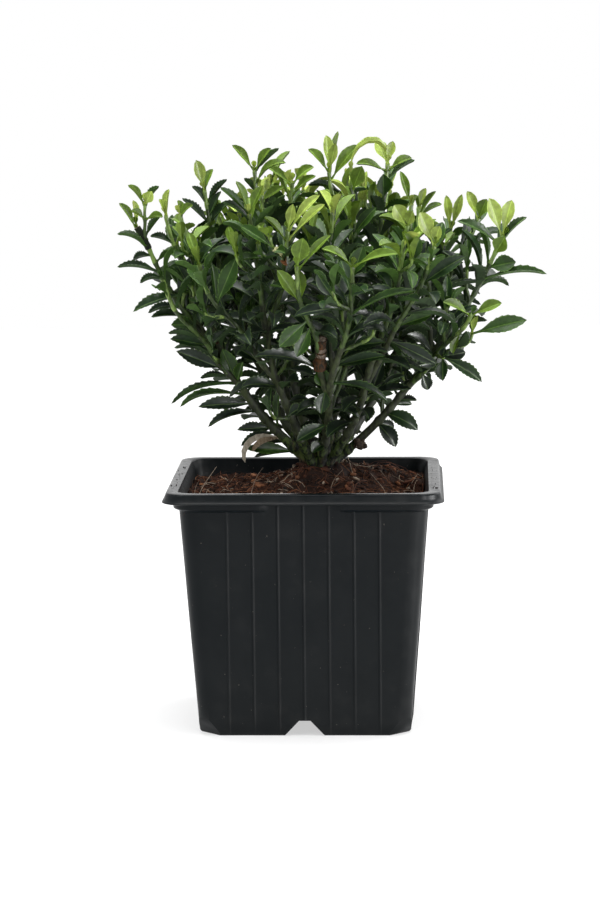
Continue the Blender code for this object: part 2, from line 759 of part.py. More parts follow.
def make_crown(parts, plan, trunk, outlines, bark, leaf_finish):
    crown = Crown(plan)
    crown.add(trunk.name, trunk.data)
    stems = {}
    groups = {}
    for name, (leader, sides) in plan.items():
        bough_end = BOUGH_SHARE * leader.length
        bough = tube(f"bough_{name}", leader, STUB_LENGTH + GAP, bough_end, BOUGH_STEP, outlines[0], parts)
        bough.data.materials.append(bark)
        bough.data.shade_smooth()
        crown.add(bough.name, bough.data)
        stem = tube(f"foliage_{name}", leader, bough_end + GAP, leader.length, TWIG_STEP, outlines[1], parts)
        crown.add(stem.name, stem.data)
        stems[name] = stem
        groups[name] = new_collection(f"foliage_{name}_pieces", visible=False)
        for number, side in enumerate(sides):
            twig = tube(f"{name}_twig_{number}", side, 0, side.length, TWIG_STEP, outlines[2], groups[name])
            crown.add(twig.name, twig.data)
    leaves = 0
    for name, (leader, sides) in plan.items():
        rng = random.Random(f"{SEED} {name}")
        first = BOUGH_SHARE * leader.length + BARE_FOOT
        leaves += grow_leaves(name, stems[name].name, leader, first, crown, groups[name], rng)
        for number, side in enumerate(sides):
            label = f"{name}_twig_{number}"
            leaves += grow_leaves(name, label, side, 2 * BARE_FOOT, crown, groups[name], rng)
    for name, stem in stems.items():
        bodies = join(stem, groups[name])
        stem.data.materials.clear()
        stem.data.materials.append(leaf_finish)
        print(stem.name, len(stem.data.polygons), "faces,", bodies - 1, "scraps dropped")
    print(leaves, "leaves")


def main():
    for old in list(bpy.data.objects):
        bpy.data.objects.remove(old)
    parts = new_collection("potted_japanese_spindle")
    cutters = new_collection("cutters", visible=False)
    bark = material("bark", (0.07, 0.075, 0.045), 0.8)
    plan = plan_limbs()
    outlines = [section(f"section_of_{sides}_sides", sides, cutters) for sides in LIMB_SIDES]
    trunk = make_trunk(parts, plan, outlines[0], bark)
    make_crown(parts, plan, trunk, outlines, bark, material("leaves", (0.03, 0.09, 0.02), 0.4))
    make_pot(parts, cutters, material("pot_plastic", (0.016, 0.018, 0.02), 0.42))
    make_soil(parts, material("soil", (0.075, 0.034, 0.02), 0.95))


main()
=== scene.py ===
# %% [markdown]
# A small-leaved Japanese spindle in its square nursery pot.
#
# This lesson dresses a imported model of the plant. The model's solids say where everything is: a thin black
# pot, the soil in it, a low woody trunk, twelve boughs and twelve masses of foliage. Each is stood in for
# here by something finer that grows by the same rule, so the looks and the solids agree.
#
# +Z is up, +X is to the right and +Y is away from the viewer. The origin is under the middle of the pot.
# Lengths are millimetres times MM, which makes them metres, as Blender counts them.

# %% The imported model
import math
import random

import bmesh
import bpy
from mathutils import Matrix, Vector, noise
from mathutils.bvhtree import BVHTree
from mathutils.kdtree import KDTree


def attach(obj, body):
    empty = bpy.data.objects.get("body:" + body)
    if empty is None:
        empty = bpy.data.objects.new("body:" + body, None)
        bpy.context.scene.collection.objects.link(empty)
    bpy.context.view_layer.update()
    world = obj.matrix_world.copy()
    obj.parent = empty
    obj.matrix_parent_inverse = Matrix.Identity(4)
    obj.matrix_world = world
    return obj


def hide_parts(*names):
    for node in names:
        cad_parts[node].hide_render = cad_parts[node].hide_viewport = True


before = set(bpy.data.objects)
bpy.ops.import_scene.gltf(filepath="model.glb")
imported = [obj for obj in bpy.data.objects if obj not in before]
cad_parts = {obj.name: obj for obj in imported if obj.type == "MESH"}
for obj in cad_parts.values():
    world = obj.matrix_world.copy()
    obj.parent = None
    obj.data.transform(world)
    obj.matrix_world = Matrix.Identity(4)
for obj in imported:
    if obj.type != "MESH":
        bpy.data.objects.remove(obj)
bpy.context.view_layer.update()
MM = 0.001
print(len(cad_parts), "nodes in the packed model")

# %% [markdown]
# The camera. The photograph was taken with a long lens from a little over a metre away, slightly above the
# pot and turned a touch to the left. The place and the three angles were found by matching the pot's
# corners, whose real sizes are known. The order matters: it is tipped first, then rolled, then turned.

# %% The camera
CAMERA_PLACE = Vector((34.6, -1082.3, 237.0)) * MM
CAMERA_DOWN = math.radians(7.82)
CAMERA_LEFT = math.radians(1.94)
CAMERA_ROLL = math.radians(0.42)
FILM_HEIGHT = 36
LENS = 132.96
PICTURE = (600, 900)  # in pixels, as the photograph
FOCAL = LENS / FILM_HEIGHT * PICTURE[1]  # in pixels


def new_object(name, data):
    made = bpy.data.objects.new(name, data)
    bpy.context.scene.collection.objects.link(made)
    return made


def make_camera():
    data = bpy.data.cameras.new("camera")
    data.sensor_fit = "VERTICAL"
    data.sensor_height = FILM_HEIGHT
    data.lens = LENS
    camera = new_object("camera", data)
    tip = Matrix.Rotation(math.radians(90) - CAMERA_DOWN, 4, "X")
    turn = Matrix.Rotation(CAMERA_LEFT, 4, "Z")
    roll = Matrix.Rotation(-CAMERA_ROLL, 4, "Z")
    camera.matrix_world = Matrix.Translation(CAMERA_PLACE) @ turn @ tip @ roll
    bpy.context.scene.camera = camera
    return camera


camera = make_camera()
TO_CAMERA = camera.matrix_world.inverted()


def pixel_of(point):
    """The pixel at which the photograph shows a point."""
    seen = TO_CAMERA @ point
    return PICTURE[0] / 2 - FOCAL * seen.x / seen.z, PICTURE[1] / 2 + FOCAL * seen.y / seen.z


def point_at(pixel, depth):
    """The point with depth as its Y that the photograph shows at a pixel."""
    sight = Vector((pixel[0] - PICTURE[0] / 2, PICTURE[1] / 2 - pixel[1], -FOCAL))
    ray = camera.matrix_world.to_3x3() @ sight
    return CAMERA_PLACE + ray * (depth - CAMERA_PLACE.y) / ray.y


print("camera looks along", [round(x, 3) for x in camera.matrix_world.to_3x3() @ Vector((0, 0, -1))])

# %% [markdown]
# Finishes are worked out as sums. A node tree is hard to read as code, so a Wire stands for one socket, and
# adding or multiplying wires puts the Math nodes in. A Recipe is one tree: its node method makes any other
# node, with its settings first and then what goes into its sockets. A Finish is the recipe of a material.

# %% A way to write finishes


class Wire:
    """One socket of a recipe. Arithmetic on it adds Math nodes."""

    def __init__(self, recipe, socket):
        self.recipe = recipe
        self.socket = socket

    def __add__(self, other):
        return self.recipe.math("ADD", self, other)

    def __sub__(self, other):
        return self.recipe.math("SUBTRACT", self, other)

    def __rsub__(self, other):
        return self.recipe.math("SUBTRACT", other, self)

    def __mul__(self, other):
        return self.recipe.math("MULTIPLY", self, other)

    __radd__ = __add__
    __rmul__ = __mul__


class Recipe:
    """A node tree whose last shader's sockets take numbers, colours or wires."""

    def __init__(self, owner, shader):
        owner.use_nodes = True
        self.tree = owner.node_tree
        self.shader = self.tree.nodes[shader]

    def connect(self, socket, value):
        if isinstance(value, Wire):
            self.tree.links.new(value.socket, socket)
        elif isinstance(value, tuple) and len(value) == 3 and socket.type == "RGBA":
            socket.default_value = (*value, 1)
        else:
            socket.default_value = value

    def set(self, **sockets):
        for name, value in sockets.items():
            self.connect(self.shader.inputs[name.replace("_", " ").title().replace("Ior", "IOR")], value)

    def node(self, kind, settings=None, sockets=None, output=0):
        made = self.tree.nodes.new(kind)
        for name, value in (settings or {}).items():
            setattr(made, name, value)
        for name, value in (sockets or {}).items():
            self.connect(made.inputs[name], value)
        return Wire(self, made.outputs[output])

    def math(self, operation, *values):
        return self.node("ShaderNodeMath", {"operation": operation}, dict(enumerate(values)))

    def part(self, vector, axis):
        """One coordinate of a vector: X, Y or Z."""
        return self.node("ShaderNodeSeparateXYZ", sockets={0: vector}, output=axis)

    def step(self, value, low, high, to_low=0.0, to_high=1.0):
        """A smooth rise from one value to another as value goes from low to high."""
        return self.node("ShaderNodeMapRange", {"interpolation_type": "SMOOTHSTEP"}, {
            "Value": value, "From Min": low, "From Max": high, "To Min": to_low, "To Max": to_high})

    def mix(self, share, first, second):
        """A colour between two others."""
        return self.node("ShaderNodeMix", {"data_type": "RGBA"}, {0: share, 6: first, 7: second}, 2)


class Finish(Recipe):
    """A material."""

    def __init__(self, name, **sockets):
        self.material = bpy.data.materials.new(name)
        super().__init__(self.material, "Principled BSDF")
        self.set(**sockets)

    def place(self, stretch=(1, 1, 1)):
        """Where a point is on the piece, in metres, stretched along each axis."""
        where = self.node("ShaderNodeTexCoord", output="Object")
        return self.node("ShaderNodeMapping", sockets={"Vector": where, "Scale": stretch})

    def grain(self, size, detail=2, where=None, roughness=0.5):
        """Soft noise whose lumps are about size across, from 0 to 1."""
        return self.node("ShaderNodeTexNoise", sockets={
            "Vector": where or self.place(), "Scale": 1 / size, "Detail": detail, "Roughness": roughness})

    def bump(self, height, depth, strength=1.0):
        return self.node("ShaderNodeBump", sockets={
            "Height": height, "Distance": depth, "Strength": strength})

    def dress(self, tone, rough, relief, depth, strength):
        """A base colour, and a relief that shows as bumps and varies the roughness between two values."""
        self.set(base_color=tone, roughness=self.step(relief, 0.3, 0.7, *rough),
                 normal=self.bump(relief, depth, strength))


def shades(color, dark, light):
    """A darker and a lighter colour of the same kind, made by two factors."""
    return tuple(c * dark for c in color), tuple(min(1, c * light) for c in color)


# %% [markdown]
# The studio. The photograph was cut out on white, so there is only a round floor, a white background and
# soft light. One wide panel hangs overhead, and two weaker ones stand at the front left and at the back
# right. Two more only gleam: they draw the thin highlights on the pot's ribs and corners. What surfaces
# mirror is bright behind the plant and above it, and dim behind the camera. The flange and the leaves'
# upper faces then shine, while the pot's front stays nearly black, as it does in the photograph.

# %% The studio
FLOOR_RADIUS = 1300 * MM
FLOOR_SIDES = 96
BACKGROUND = (1.0, 1.0, 1.0)
FLOOR_COLOR = (0.4, 0.4, 0.4)
FLOOR_GLOW = 0.55  # a floor that shines a little takes only a faint shadow, as in the photograph's cut-out
SURROUND_BRIGHT = (1.0, 1.0, 1.0)
SURROUND_DIM = (0.20, 0.21, 0.23)
SURROUND_RISE = 0.8  # how much a direction's height counts beside its depth
SURROUND_EDGE = (-0.5, 0.35)  # where the surround begins to brighten, and where it is full
# Each panel: its place and size in millimetres, its power in watts, and whether it does more than gleam.
PANELS = {
    "top": ((60, 0, 1100), 900, 15, True),
    "front_left": ((-800, -900, 900), 700, 3, True),
    "right_back": ((800, 600, 700), 700, 4, True),
    "right_edge": ((1150, -420, 260), 420, 34, False),
    "front_right": ((620, -1150, 330), 200, 14, False),
}
PANEL_TARGET = Vector((0, 0, 100)) * MM


def mesh_of(name, bm):
    """What bmesh has drawn, as a mesh."""
    mesh = bpy.data.meshes.new(name)
    bm.to_mesh(mesh)
    bm.free()
    return mesh


def make_floor():
    finish = Finish("floor_pale", base_color=FLOOR_COLOR)
    finish.set(emission_color=BACKGROUND, emission_strength=FLOOR_GLOW)
    finish.set(roughness=finish.step(finish.grain(400 * MM), 0.3, 0.7, 0.85, 0.95))
    bm = bmesh.new()
    bmesh.ops.create_circle(bm, cap_ends=True, segments=FLOOR_SIDES, radius=FLOOR_RADIUS)
    mesh = mesh_of("floor", bm)
    mesh.materials.append(finish.material)
    floor = new_object("floor", mesh)


def make_surround():
    """White where the camera sees it, and a dim to bright sweep in what surfaces mirror."""
    world = bpy.data.worlds.new("studio")
    surround = Recipe(world, "Background")
    toward = surround.node("ShaderNodeTexCoord", output="Generated")
    behind, above = surround.part(toward, "Y"), surround.part(toward, "Z")
    share = surround.step(behind + above * SURROUND_RISE, *SURROUND_EDGE)
    mirrored = surround.mix(share, SURROUND_DIM, SURROUND_BRIGHT)
    seen = surround.node("ShaderNodeLightPath")
    surround.connect(surround.shader.inputs["Color"], surround.mix(seen, mirrored, BACKGROUND))
    bpy.context.scene.world = world
    bpy.context.scene.view_settings.view_transform = "Standard"


def make_panels():
    for name, (place, size, power, lights) in PANELS.items():
        data = bpy.data.lights.new(f"panel_{name}", "AREA")
        data.shape = "SQUARE"
        data.size = size * MM
        data.energy = power
        panel = new_object(f"panel_{name}", data)
        panel.location = Vector(place) * MM
        panel.rotation_euler = (PANEL_TARGET - panel.location).to_track_quat("-Z", "Y").to_euler()
        panel.visible_diffuse = lights


make_floor()
make_surround()
make_panels()
print(len(PANELS), "light panels")

# %% [markdown]
# Many small things become one piece: hundreds of leaves, fibres and crumbs would be slow as objects. A Heap
# gathers points and faces, with a number for each face's finish, and makes one mesh of them. Nearly
# everything on a plant is a tube of some kind, so its rings method draws one: rings of points joined in
# order, closed at both ends.

# %% Heaps of small things


class Heap:
    """Points and faces of many small things, gathered into one mesh."""

    def __init__(self):
        self.points = []
        self.faces = []
        self.tints = []

    def add(self, points, faces, tints):
        base = len(self.points)
        self.points += points
        self.faces += [[base + i for i in face] for face in faces]
        self.tints += tints if isinstance(tints, list) else [tints] * len(faces)

    def rings(self, rings, tints, tip=None):
        """Rings joined in order. tints is each strip's finish, or one for all. A tip closes to a point."""
        count = len(rings[0])
        strips = tints if isinstance(tints, list) else [tints] * count
        points = [point for ring in rings for point in ring]
        faces = []
        for low in range(0, len(points) - count, count):
            for i in range(count):
                j = (i + 1) % count
                faces.append((low + i, low + j, low + count + j, low + count + i))
        finishes = strips * (len(rings) - 1)
        faces.append(tuple(reversed(range(count))))
        finishes.append(strips[-1])
        last = len(points) - count
        if tip is None:
            faces.append(tuple(range(last, last + count)))
            finishes.append(strips[-1])
        else:
            points.append(tip)
            faces += [(last + i, last + (i + 1) % count, last + count) for i in range(count)]
            finishes += strips
        self.add(points, faces, finishes)

    def mesh(self, name, finishes, sharp=40):
        """The heap as a mesh. Edges that bend by more than sharp degrees stay sharp."""
        mesh = bpy.data.meshes.new(name)
        mesh.from_pydata(self.points, [], self.faces)
        for finish in finishes:
            mesh.materials.append(finish.material)
        mesh.polygons.foreach_set("material_index", self.tints)
        mesh.shade_smooth()
        mesh.set_sharp_from_angle(angle=math.radians(sharp))
        mesh.update()
        return mesh


def add_piece(name, mesh, slot, *nodes):
    """A finished piece: it rides on the plant's one body and stands for the nodes named."""
    made = new_object(name, mesh)
    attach(made, "root")
    if nodes:
        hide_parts(*nodes)
    print(f"{name}: {sum(len(face.vertices) - 2 for face in mesh.polygons)} triangles")


def off(way, line):
    """A direction square to a line, as near as can be to a given one."""
    return (way - line * way.dot(line)).normalized()


def circle(middle, direction, radius, sides, across):
    """Points round a line, which start on the side named by across."""
    across = off(across, direction)
    other = direction.cross(across)
    turns = [math.tau * i / sides for i in range(sides)]
    return [middle + across * radius * math.cos(turn) + other * radius * math.sin(turn) for turn in turns]


def tube(heap, path, radii, sides, tint, pointed=False):
    """A round rod along a path, closed at its ends."""
    across = (path[1] - path[0]).orthogonal()
    rings = []
    for i, point in enumerate(path):
        ahead = path[min(i + 1, len(path) - 1)] - path[max(i - 1, 0)]
        rings.append(circle(point, ahead.normalized(), radii[i], sides, across))
        across = rings[-1][0] - point
    tip = path[-1] + (path[-1] - path[-2]).normalized() * radii[-1] if pointed else None
    heap.rings(rings, tint, tip)


def applied(mesh, name, *modifiers):
    """The mesh after modifiers, each given as its kind and settings."""
    made = new_object(name, mesh)
    for kind, settings in modifiers:
        modifier = made.modifiers.new(kind.title(), kind)
        for setting, value in settings.items():
            setattr(modifier, setting, value)
    graph = bpy.context.evaluated_depsgraph_get()
    result = bpy.data.meshes.new_from_object(made.evaluated_get(graph))
    bpy.data.objects.remove(made)
    return result


# %% [markdown]
# The pot. It is the standard nine centimetre square nursery pot, blown from thin black plastic: a tapered
# body with seven fine ribs a side, a shoulder under the rim that breaks off in the middle of each side, and
# a flange with a turned-down lip. The solid model has all of these with hard edges. Here the body is drawn
# as rings whose outline swells softly over the ribs and the shoulder, because the soft edges are what catch
# the light.

# %% The pot's sizes, in millimetres
POT_HEIGHT = 80
FOOT_WIDTH = 68.4
BODY_TOP_WIDTH = 79.8
BODY_TOP = 76.7
FOOT_CORNER = 5
TOP_CORNER = 6
WALL = 0.8
FLOOR = 1
RIM_WIDTH = 90
RIM_TOP_WIDTH = 87.7
RIM_SKIN = 1
RIM_CORNER = 7
MOUTH_WIDTH = 79.6
RIM_INSIDE = RIM_WIDTH - 2 * RIM_SKIN
RIM_TOP_INSIDE = RIM_TOP_WIDTH - 2 * RIM_SKIN
# The width, corner and height of the flange at each bend of its skin, from the hollow under it upwards.
FLANGE = (
    (RIM_TOP_INSIDE - 1, RIM_CORNER - 1, 78.9), (RIM_TOP_INSIDE, RIM_CORNER - 0.8, 78.5),
    (RIM_INSIDE - 0.6, RIM_CORNER, 77.4), (RIM_INSIDE, RIM_CORNER, 76.9),
    (RIM_INSIDE + 0.5, RIM_CORNER, 76.7), (RIM_WIDTH - 0.4, RIM_CORNER + 0.8, 76.7),
    (RIM_WIDTH, RIM_CORNER + 0.8, 76.85),
    (RIM_WIDTH - 0.1, RIM_CORNER + 0.75, 77.05), (RIM_WIDTH - 0.6, RIM_CORNER + 0.6, 77.3),
    (RIM_TOP_WIDTH + 0.9, RIM_CORNER + 0.3, 77.7), (RIM_TOP_WIDTH + 0.4, RIM_CORNER, 78.4),
    (RIM_TOP_WIDTH, RIM_CORNER - 0.3, 79.35), (RIM_TOP_WIDTH - 0.2, RIM_CORNER - 0.4, 79.7),
    (RIM_TOP_WIDTH - 0.6, RIM_CORNER - 0.6, 79.9), (RIM_TOP_WIDTH - 1.4, RIM_CORNER - 0.9, 80),
    (MOUTH_WIDTH - 4, TOP_CORNER - 1, 80),
)
SHOULDER_PROUD = 1.8
SHOULDER_LOW = 73.6
SHOULDER_FULL = 74.7
SHOULDER_BREAK = (10.6, 14)  # from the middle of a side, where the shoulder begins and where it is full
SHOULDER_STATIONS = (73.6, 73.9, 74.15, 74.4, 74.7, 75.6, 76.7, 78.6)  # heights of rings
FOOT_BEVEL = ((0, 0.7), (0.2, 0.3), (0.7, 0))  # height, and how far in the edge is
HOLLOW_STATIONS = ((FLOOR, FOOT_CORNER), (60, TOP_CORNER), (77.6, TOP_CORNER))  # height, and corner outside
MOUTH_EDGE = ((78.4, 0), (79.3, 0.15), (79.75, 0.6), (80.01, 1.8), (84, 1.8))  # height, and how much wider
RIB_SPACING = 8.1
RIB_PROUD = 0.42
RIB_EDGE = (0.08, 0.58)  # from a rib's middle, where its top ends and where its side does
RIBS_EACH_SIDE = 3
NOTCH = (13, 3.3, 5.2)  # width at the foot, width at its top, height
NOTCH_INNER_END = 12
CORNER_CUT_LEG = 7.5
CORNER_CUT_SLOPE = 0.6
BLOCK_FOOT = -4  # the foot's cutters end below the pot here, and further out than it there
BLOCK_OUT = -44
BLOCK_REACH = 30  # how high and how far out a corner's cutter goes
DRAIN_RADIUS = 2.2
DRAIN_PLACE = 21
DRAIN_SIDES = 24
DRAIN_DEPTH = 8
CORNER_STEPS = 12
STATION_STEP = 5
WALL_WAVE = 0.12  # how far the thin walls bow in and out
POT_SHARP = 38  # edges that bend by more degrees than this stay sharp


def smooth_step(value, low, high):
    share = min(1, max(0, (value - low) / (high - low)))
    return share * share * (3 - 2 * share)


def body_width(height):
    return FOOT_WIDTH + (BODY_TOP_WIDTH - FOOT_WIDTH) * height / BODY_TOP


def places_along_side():
    """Where each side's points are: close together over a rib or an end of the shoulder."""
    places = {float(x) for x in range(-27, 28, 3)}
    for rib in range(-RIBS_EACH_SIDE, RIBS_EACH_SIDE + 1):
        for offset in (0, 0.12, 0.24, 0.36, 0.48, 0.6, 0.9):
            places |= {rib * RIB_SPACING + offset, rib * RIB_SPACING - offset}
    for step in range(7):
        place = SHOULDER_BREAK[0] + (SHOULDER_BREAK[1] - SHOULDER_BREAK[0]) * step / 6
        places |= {place, -place}
    return sorted(places)


PLACES = places_along_side()


def rib_swell(along):
    nearest = round(along / RIB_SPACING)
    if abs(nearest) > RIBS_EACH_SIDE:
        return 0
    return RIB_PROUD * (1 - smooth_step(abs(along - nearest * RIB_SPACING), *RIB_EDGE))


def shoulder_swell(along, height):
    out = SHOULDER_PROUD * smooth_step(abs(along), *SHOULDER_BREAK)
    return out * smooth_step(height, SHOULDER_LOW, SHOULDER_FULL)


def no_swell(along, height):
    return 0


def body_swell(along, height):
    wave = WALL_WAVE * noise.noise(Vector((along / 25, height / 30, 0.5)))
    return max(rib_swell(along) if height > 0.5 else 0, shoulder_swell(along, height)) + wave


def square_ring(width, corner, height, swell=no_swell):
    """A round-cornered square of points, swollen outwards by swell."""
    half = width / 2
    straight = half - corner
    ring = []
    for side in range(4):
        turn = Matrix.Rotation(math.radians(90 * side), 3, "Z")
        for along in PLACES:
            ring.append(turn @ Vector((along, -half - swell(along, height), height)) * MM)
        grown = corner + swell(straight, height)
        for step in range(CORNER_STEPS + 1):
            angle = math.radians(90 * step / CORNER_STEPS)
            across = straight + grown * math.sin(angle)
            deep = straight + grown * math.cos(angle)
            ring.append(turn @ Vector((across, -deep, height)) * MM)
    return ring


def facing_out(name, bm):
    """A mesh whose faces all look outward."""
    bm.normal_update()
    bmesh.ops.recalc_face_normals(bm, faces=bm.faces)
    return mesh_of(name, bm)


def loft(name, rings):
    heap = Heap()
    heap.rings(rings, 0)
    bm = bmesh.new()
    bm.from_mesh(heap.mesh(name, []))
    return facing_out(name, bm)


def pot_outside():
    """The body, the hollow under the flange, the lip and the flange's top, as rings from the foot up."""
    rings = []
    for height, inset in FOOT_BEVEL:
        rings.append(square_ring(body_width(height) - 2 * inset, FOOT_CORNER - inset, height))
    height = STATION_STEP
    while height < SHOULDER_LOW:
        corner = FOOT_CORNER + (TOP_CORNER - FOOT_CORNER) * height / BODY_TOP
        rings.append(square_ring(body_width(height), corner, height, body_swell))
        height += STATION_STEP
    for height in SHOULDER_STATIONS:
        rings.append(square_ring(body_width(height), TOP_CORNER, height, body_swell))
    return rings + [square_ring(*station) for station in FLANGE]


def pot_hollow():
    """The room inside the pot, with the mouth's rounded edge."""
    profile = [(body_width(height) - 2 * WALL, corner - WALL, height) for height, corner in HOLLOW_STATIONS]
    profile += [(MOUTH_WIDTH + wider, TOP_CORNER + wider / 2, height) for height, wider in MOUTH_EDGE]
    return [square_ring(width, corner, height) for width, corner, height in profile]


def shaped_block(name, place):
    """A cube whose corners go where place puts them."""
    bm = bmesh.new()
    bmesh.ops.create_cube(bm, size=2)
    for vertex in bm.verts:
        vertex.co = Vector(place(*vertex.co)) * MM
    return facing_out(name, bm)


def foot_blocks(grow):
    """The notch with its channel, and the cut corner, for the front."""
    wide, narrow, tall = NOTCH

    def channel(x, y, z):
        height = BLOCK_FOOT if z < 0 else tall + grow
        width = wide + 2 * grow - (wide - narrow) / tall * height
        return (x * width / 2, BLOCK_OUT if y < 0 else grow - NOTCH_INNER_END, height)

    def corner(x, y, z):
        height = BLOCK_FOOT if z < 0 else BLOCK_REACH
        face = (FOOT_WIDTH - CORNER_CUT_LEG) / math.sqrt(2) - grow + CORNER_CUT_SLOPE * height
        out = face + BLOCK_REACH if y < 0 else face
        return ((-out - x * BLOCK_REACH) / math.sqrt(2), (-out + x * BLOCK_REACH) / math.sqrt(2), height)

    return [shaped_block("notch", channel), shaped_block("corner", corner)]


def gather(name, meshes):
    """A hidden collection of cutters, each turned to all four sides."""
    group = bpy.data.collections.new(name)
    for mesh in meshes:
        for side in range(4):
            turned = mesh.copy()
            turned.transform(Matrix.Rotation(math.radians(90 * side), 4, "Z"))
            group.objects.link(bpy.data.objects.new(name, turned))
    return group


def cut_away(group):
    return ("BOOLEAN", {"operation": "DIFFERENCE", "solver": "EXACT", "operand_type": "COLLECTION",
                        "collection": group})


def drain_hole():
    bm = bmesh.new()
    place = Matrix.Translation(Vector((0, -DRAIN_PLACE, NOTCH[2])) * MM)
    bmesh.ops.create_cone(bm, cap_ends=True, segments=DRAIN_SIDES, radius1=DRAIN_RADIUS * MM,
                          radius2=DRAIN_RADIUS * MM, depth=DRAIN_DEPTH * MM, matrix=place)
    return mesh_of("drain", bm)


def pot_finish():
    """Black plastic, nearly even in colour. Handling, dust and dried splashes break up its gloss."""
    finish = Finish("pot_plastic", specular_ior_level=0.12)
    streaks = finish.grain(3 * MM, 3, finish.place((1, 1, 0.12)))
    clouds = finish.grain(16 * MM, 3)
    fine = finish.grain(0.35 * MM, 2)
    specks = finish.step(finish.grain(1.1 * MM, 2), 0.74, 0.78)
    place = finish.place()
    height = finish.part(place, "Z")
    outer = finish.math("MAXIMUM", *[finish.math("ABSOLUTE", finish.part(place, axis)) for axis in "XY"])
    lip = finish.step(height, 75 * MM, 76 * MM, 0, 0.22) * finish.step(outer, 43.5 * MM, 44.5 * MM)
    dusty = finish.step(finish.grain(7 * MM, 4) + finish.step(height, 0.0, 0.02, 0.12, 0), 0.5, 0.8)
    base = finish.mix(finish.step(clouds, 0.35, 0.65), (0.0034, 0.0055, 0.0068), (0.0053, 0.0074, 0.0087))
    film = finish.step(height, 0, 40 * MM, 0.09, 0) + lip
    dust = finish.mix(dusty * 0.12 + film, base, (0.030, 0.030, 0.028))
    flange = finish.step(height, 79.3 * MM, 79.8 * MM, 0, 0.2)
    finish.set(
        base_color=finish.mix(specks * 0.5, dust, (0.16, 0.14, 0.12)),
        roughness=finish.step(streaks, 0.3, 0.7, 0.31, 0.4) + dusty * 0.12 + fine * 0.05 - flange,
        normal=finish.bump(fine, 0.01 * MM, 0.5),
    )
    return finish


def make_pot():
    outside = loft("pot_outside", pot_outside())
    hollow = loft("pot_hollow", pot_hollow())
    hollow = applied(hollow, "hollow", cut_away(gather("raised_floor", foot_blocks(FLOOR))))
    room = bpy.data.collections.new("room")
    room.objects.link(bpy.data.objects.new("room", hollow))
    cuts = gather("foot", foot_blocks(0))
    drains = gather("drain", [drain_hole()])
    mesh = applied(outside, "pot", cut_away(room), cut_away(cuts), cut_away(drains))
    mesh.materials.clear()
    mesh.materials.append(pot_finish().material)
    mesh.shade_smooth()
    mesh.set_sharp_from_angle(angle=math.radians(POT_SHARP))
    for group in (room, cuts, drains):
        bpy.data.collections.remove(group)
    add_piece("nursery_pot", mesh, "pot", "pot")


make_pot()

# %% [markdown]
# Where the limbs run. The solids came from a plan: each mass of foliage has a bough that leaves the trunk
# at its own bearing and steepness, a leader that ends at the first tip, and side shoots that fork from the
# leader towards the other tips. The plan is written out again here with the same numbers and the same
# random draws, so that twigs and leaves grow exactly from where the solids are.

# %% The plan of the limbs
TRUNK_PLACE = (4.5, 3)
TRUNK_FOOT = 79.8
TRUNK_RADIUS = 7.2
TRUNK_PROFILE = ((-0.8, 1.06), (0, 1), (1, 0.84), (2.2, 0.72), (3.4, 0.52), (4.2, 0.26))
TRUNK_LOBES = 5
LIMB_START = 1.4
LIMB_START_HEIGHT = 1.5
BOUGH_SHARE = 0.15
LIMB_RADIUS = 0.9
LIMB_TIP_RADIUS = 0.6
SIDE_RADII = (1.05, 0.55)
FORK_SHARE = 0.92  # a side shoot's foot is at most this share of its leader's thickness there
TAPER = 0.8
CURVE_HOLD = 0.36
TIP_LEAN = 0.45
LEAN_REACH = 60
WANDER = 1.3
FORKS = (0.3, 0.58)
PLAN_SEED = 11
# Each mass: the bough's bearing and rise in degrees, then each tip's bearing, reach and height. The
# leader's tip comes first. Bearings run from +X towards +Y.
MASSES = {
    "left": (188, 46, ((187, 59, 163), (184, 51, 170), (199, 47, 167), (203, 54, 146))),
    "left_back": (154, 52, ((172, 38, 173), (160, 53, 161), (146, 42, 168))),
    "back_left": (120, 48, ((128, 50, 160), (118, 38, 169), (134, 56, 145))),
    "back": (88, 46, ((92, 49, 163), (100, 35, 171), (84, 54, 147), (76, 41, 168))),
    "back_right": (55, 50, ((58, 50, 162), (50, 36, 171), (44, 56, 148))),
    "right_back": (21, 52, ((24, 49, 164), (27, 38, 171), (5, 54, 167))),
    "right": (347, 40, ((353, 61, 160), (338, 33, 172), (336, 56, 140))),
    "front_right": (312, 46, ((305, 50, 164), (311, 57, 158), (318, 40, 168))),
    "front": (275, 52, ((284, 49, 152), (263, 47, 154), (280, 30, 168))),
    "front_left": (232, 48, ((241, 43, 168), (257, 39, 164), (222, 50, 152))),
    "middle_left": (150, 76, ((149, 25, 179), (114, 23, 175), (195, 19, 172))),
    "middle_right": (330, 80, ((26, 25, 181), (30, 4, 179), (322, 14, 174))),
}


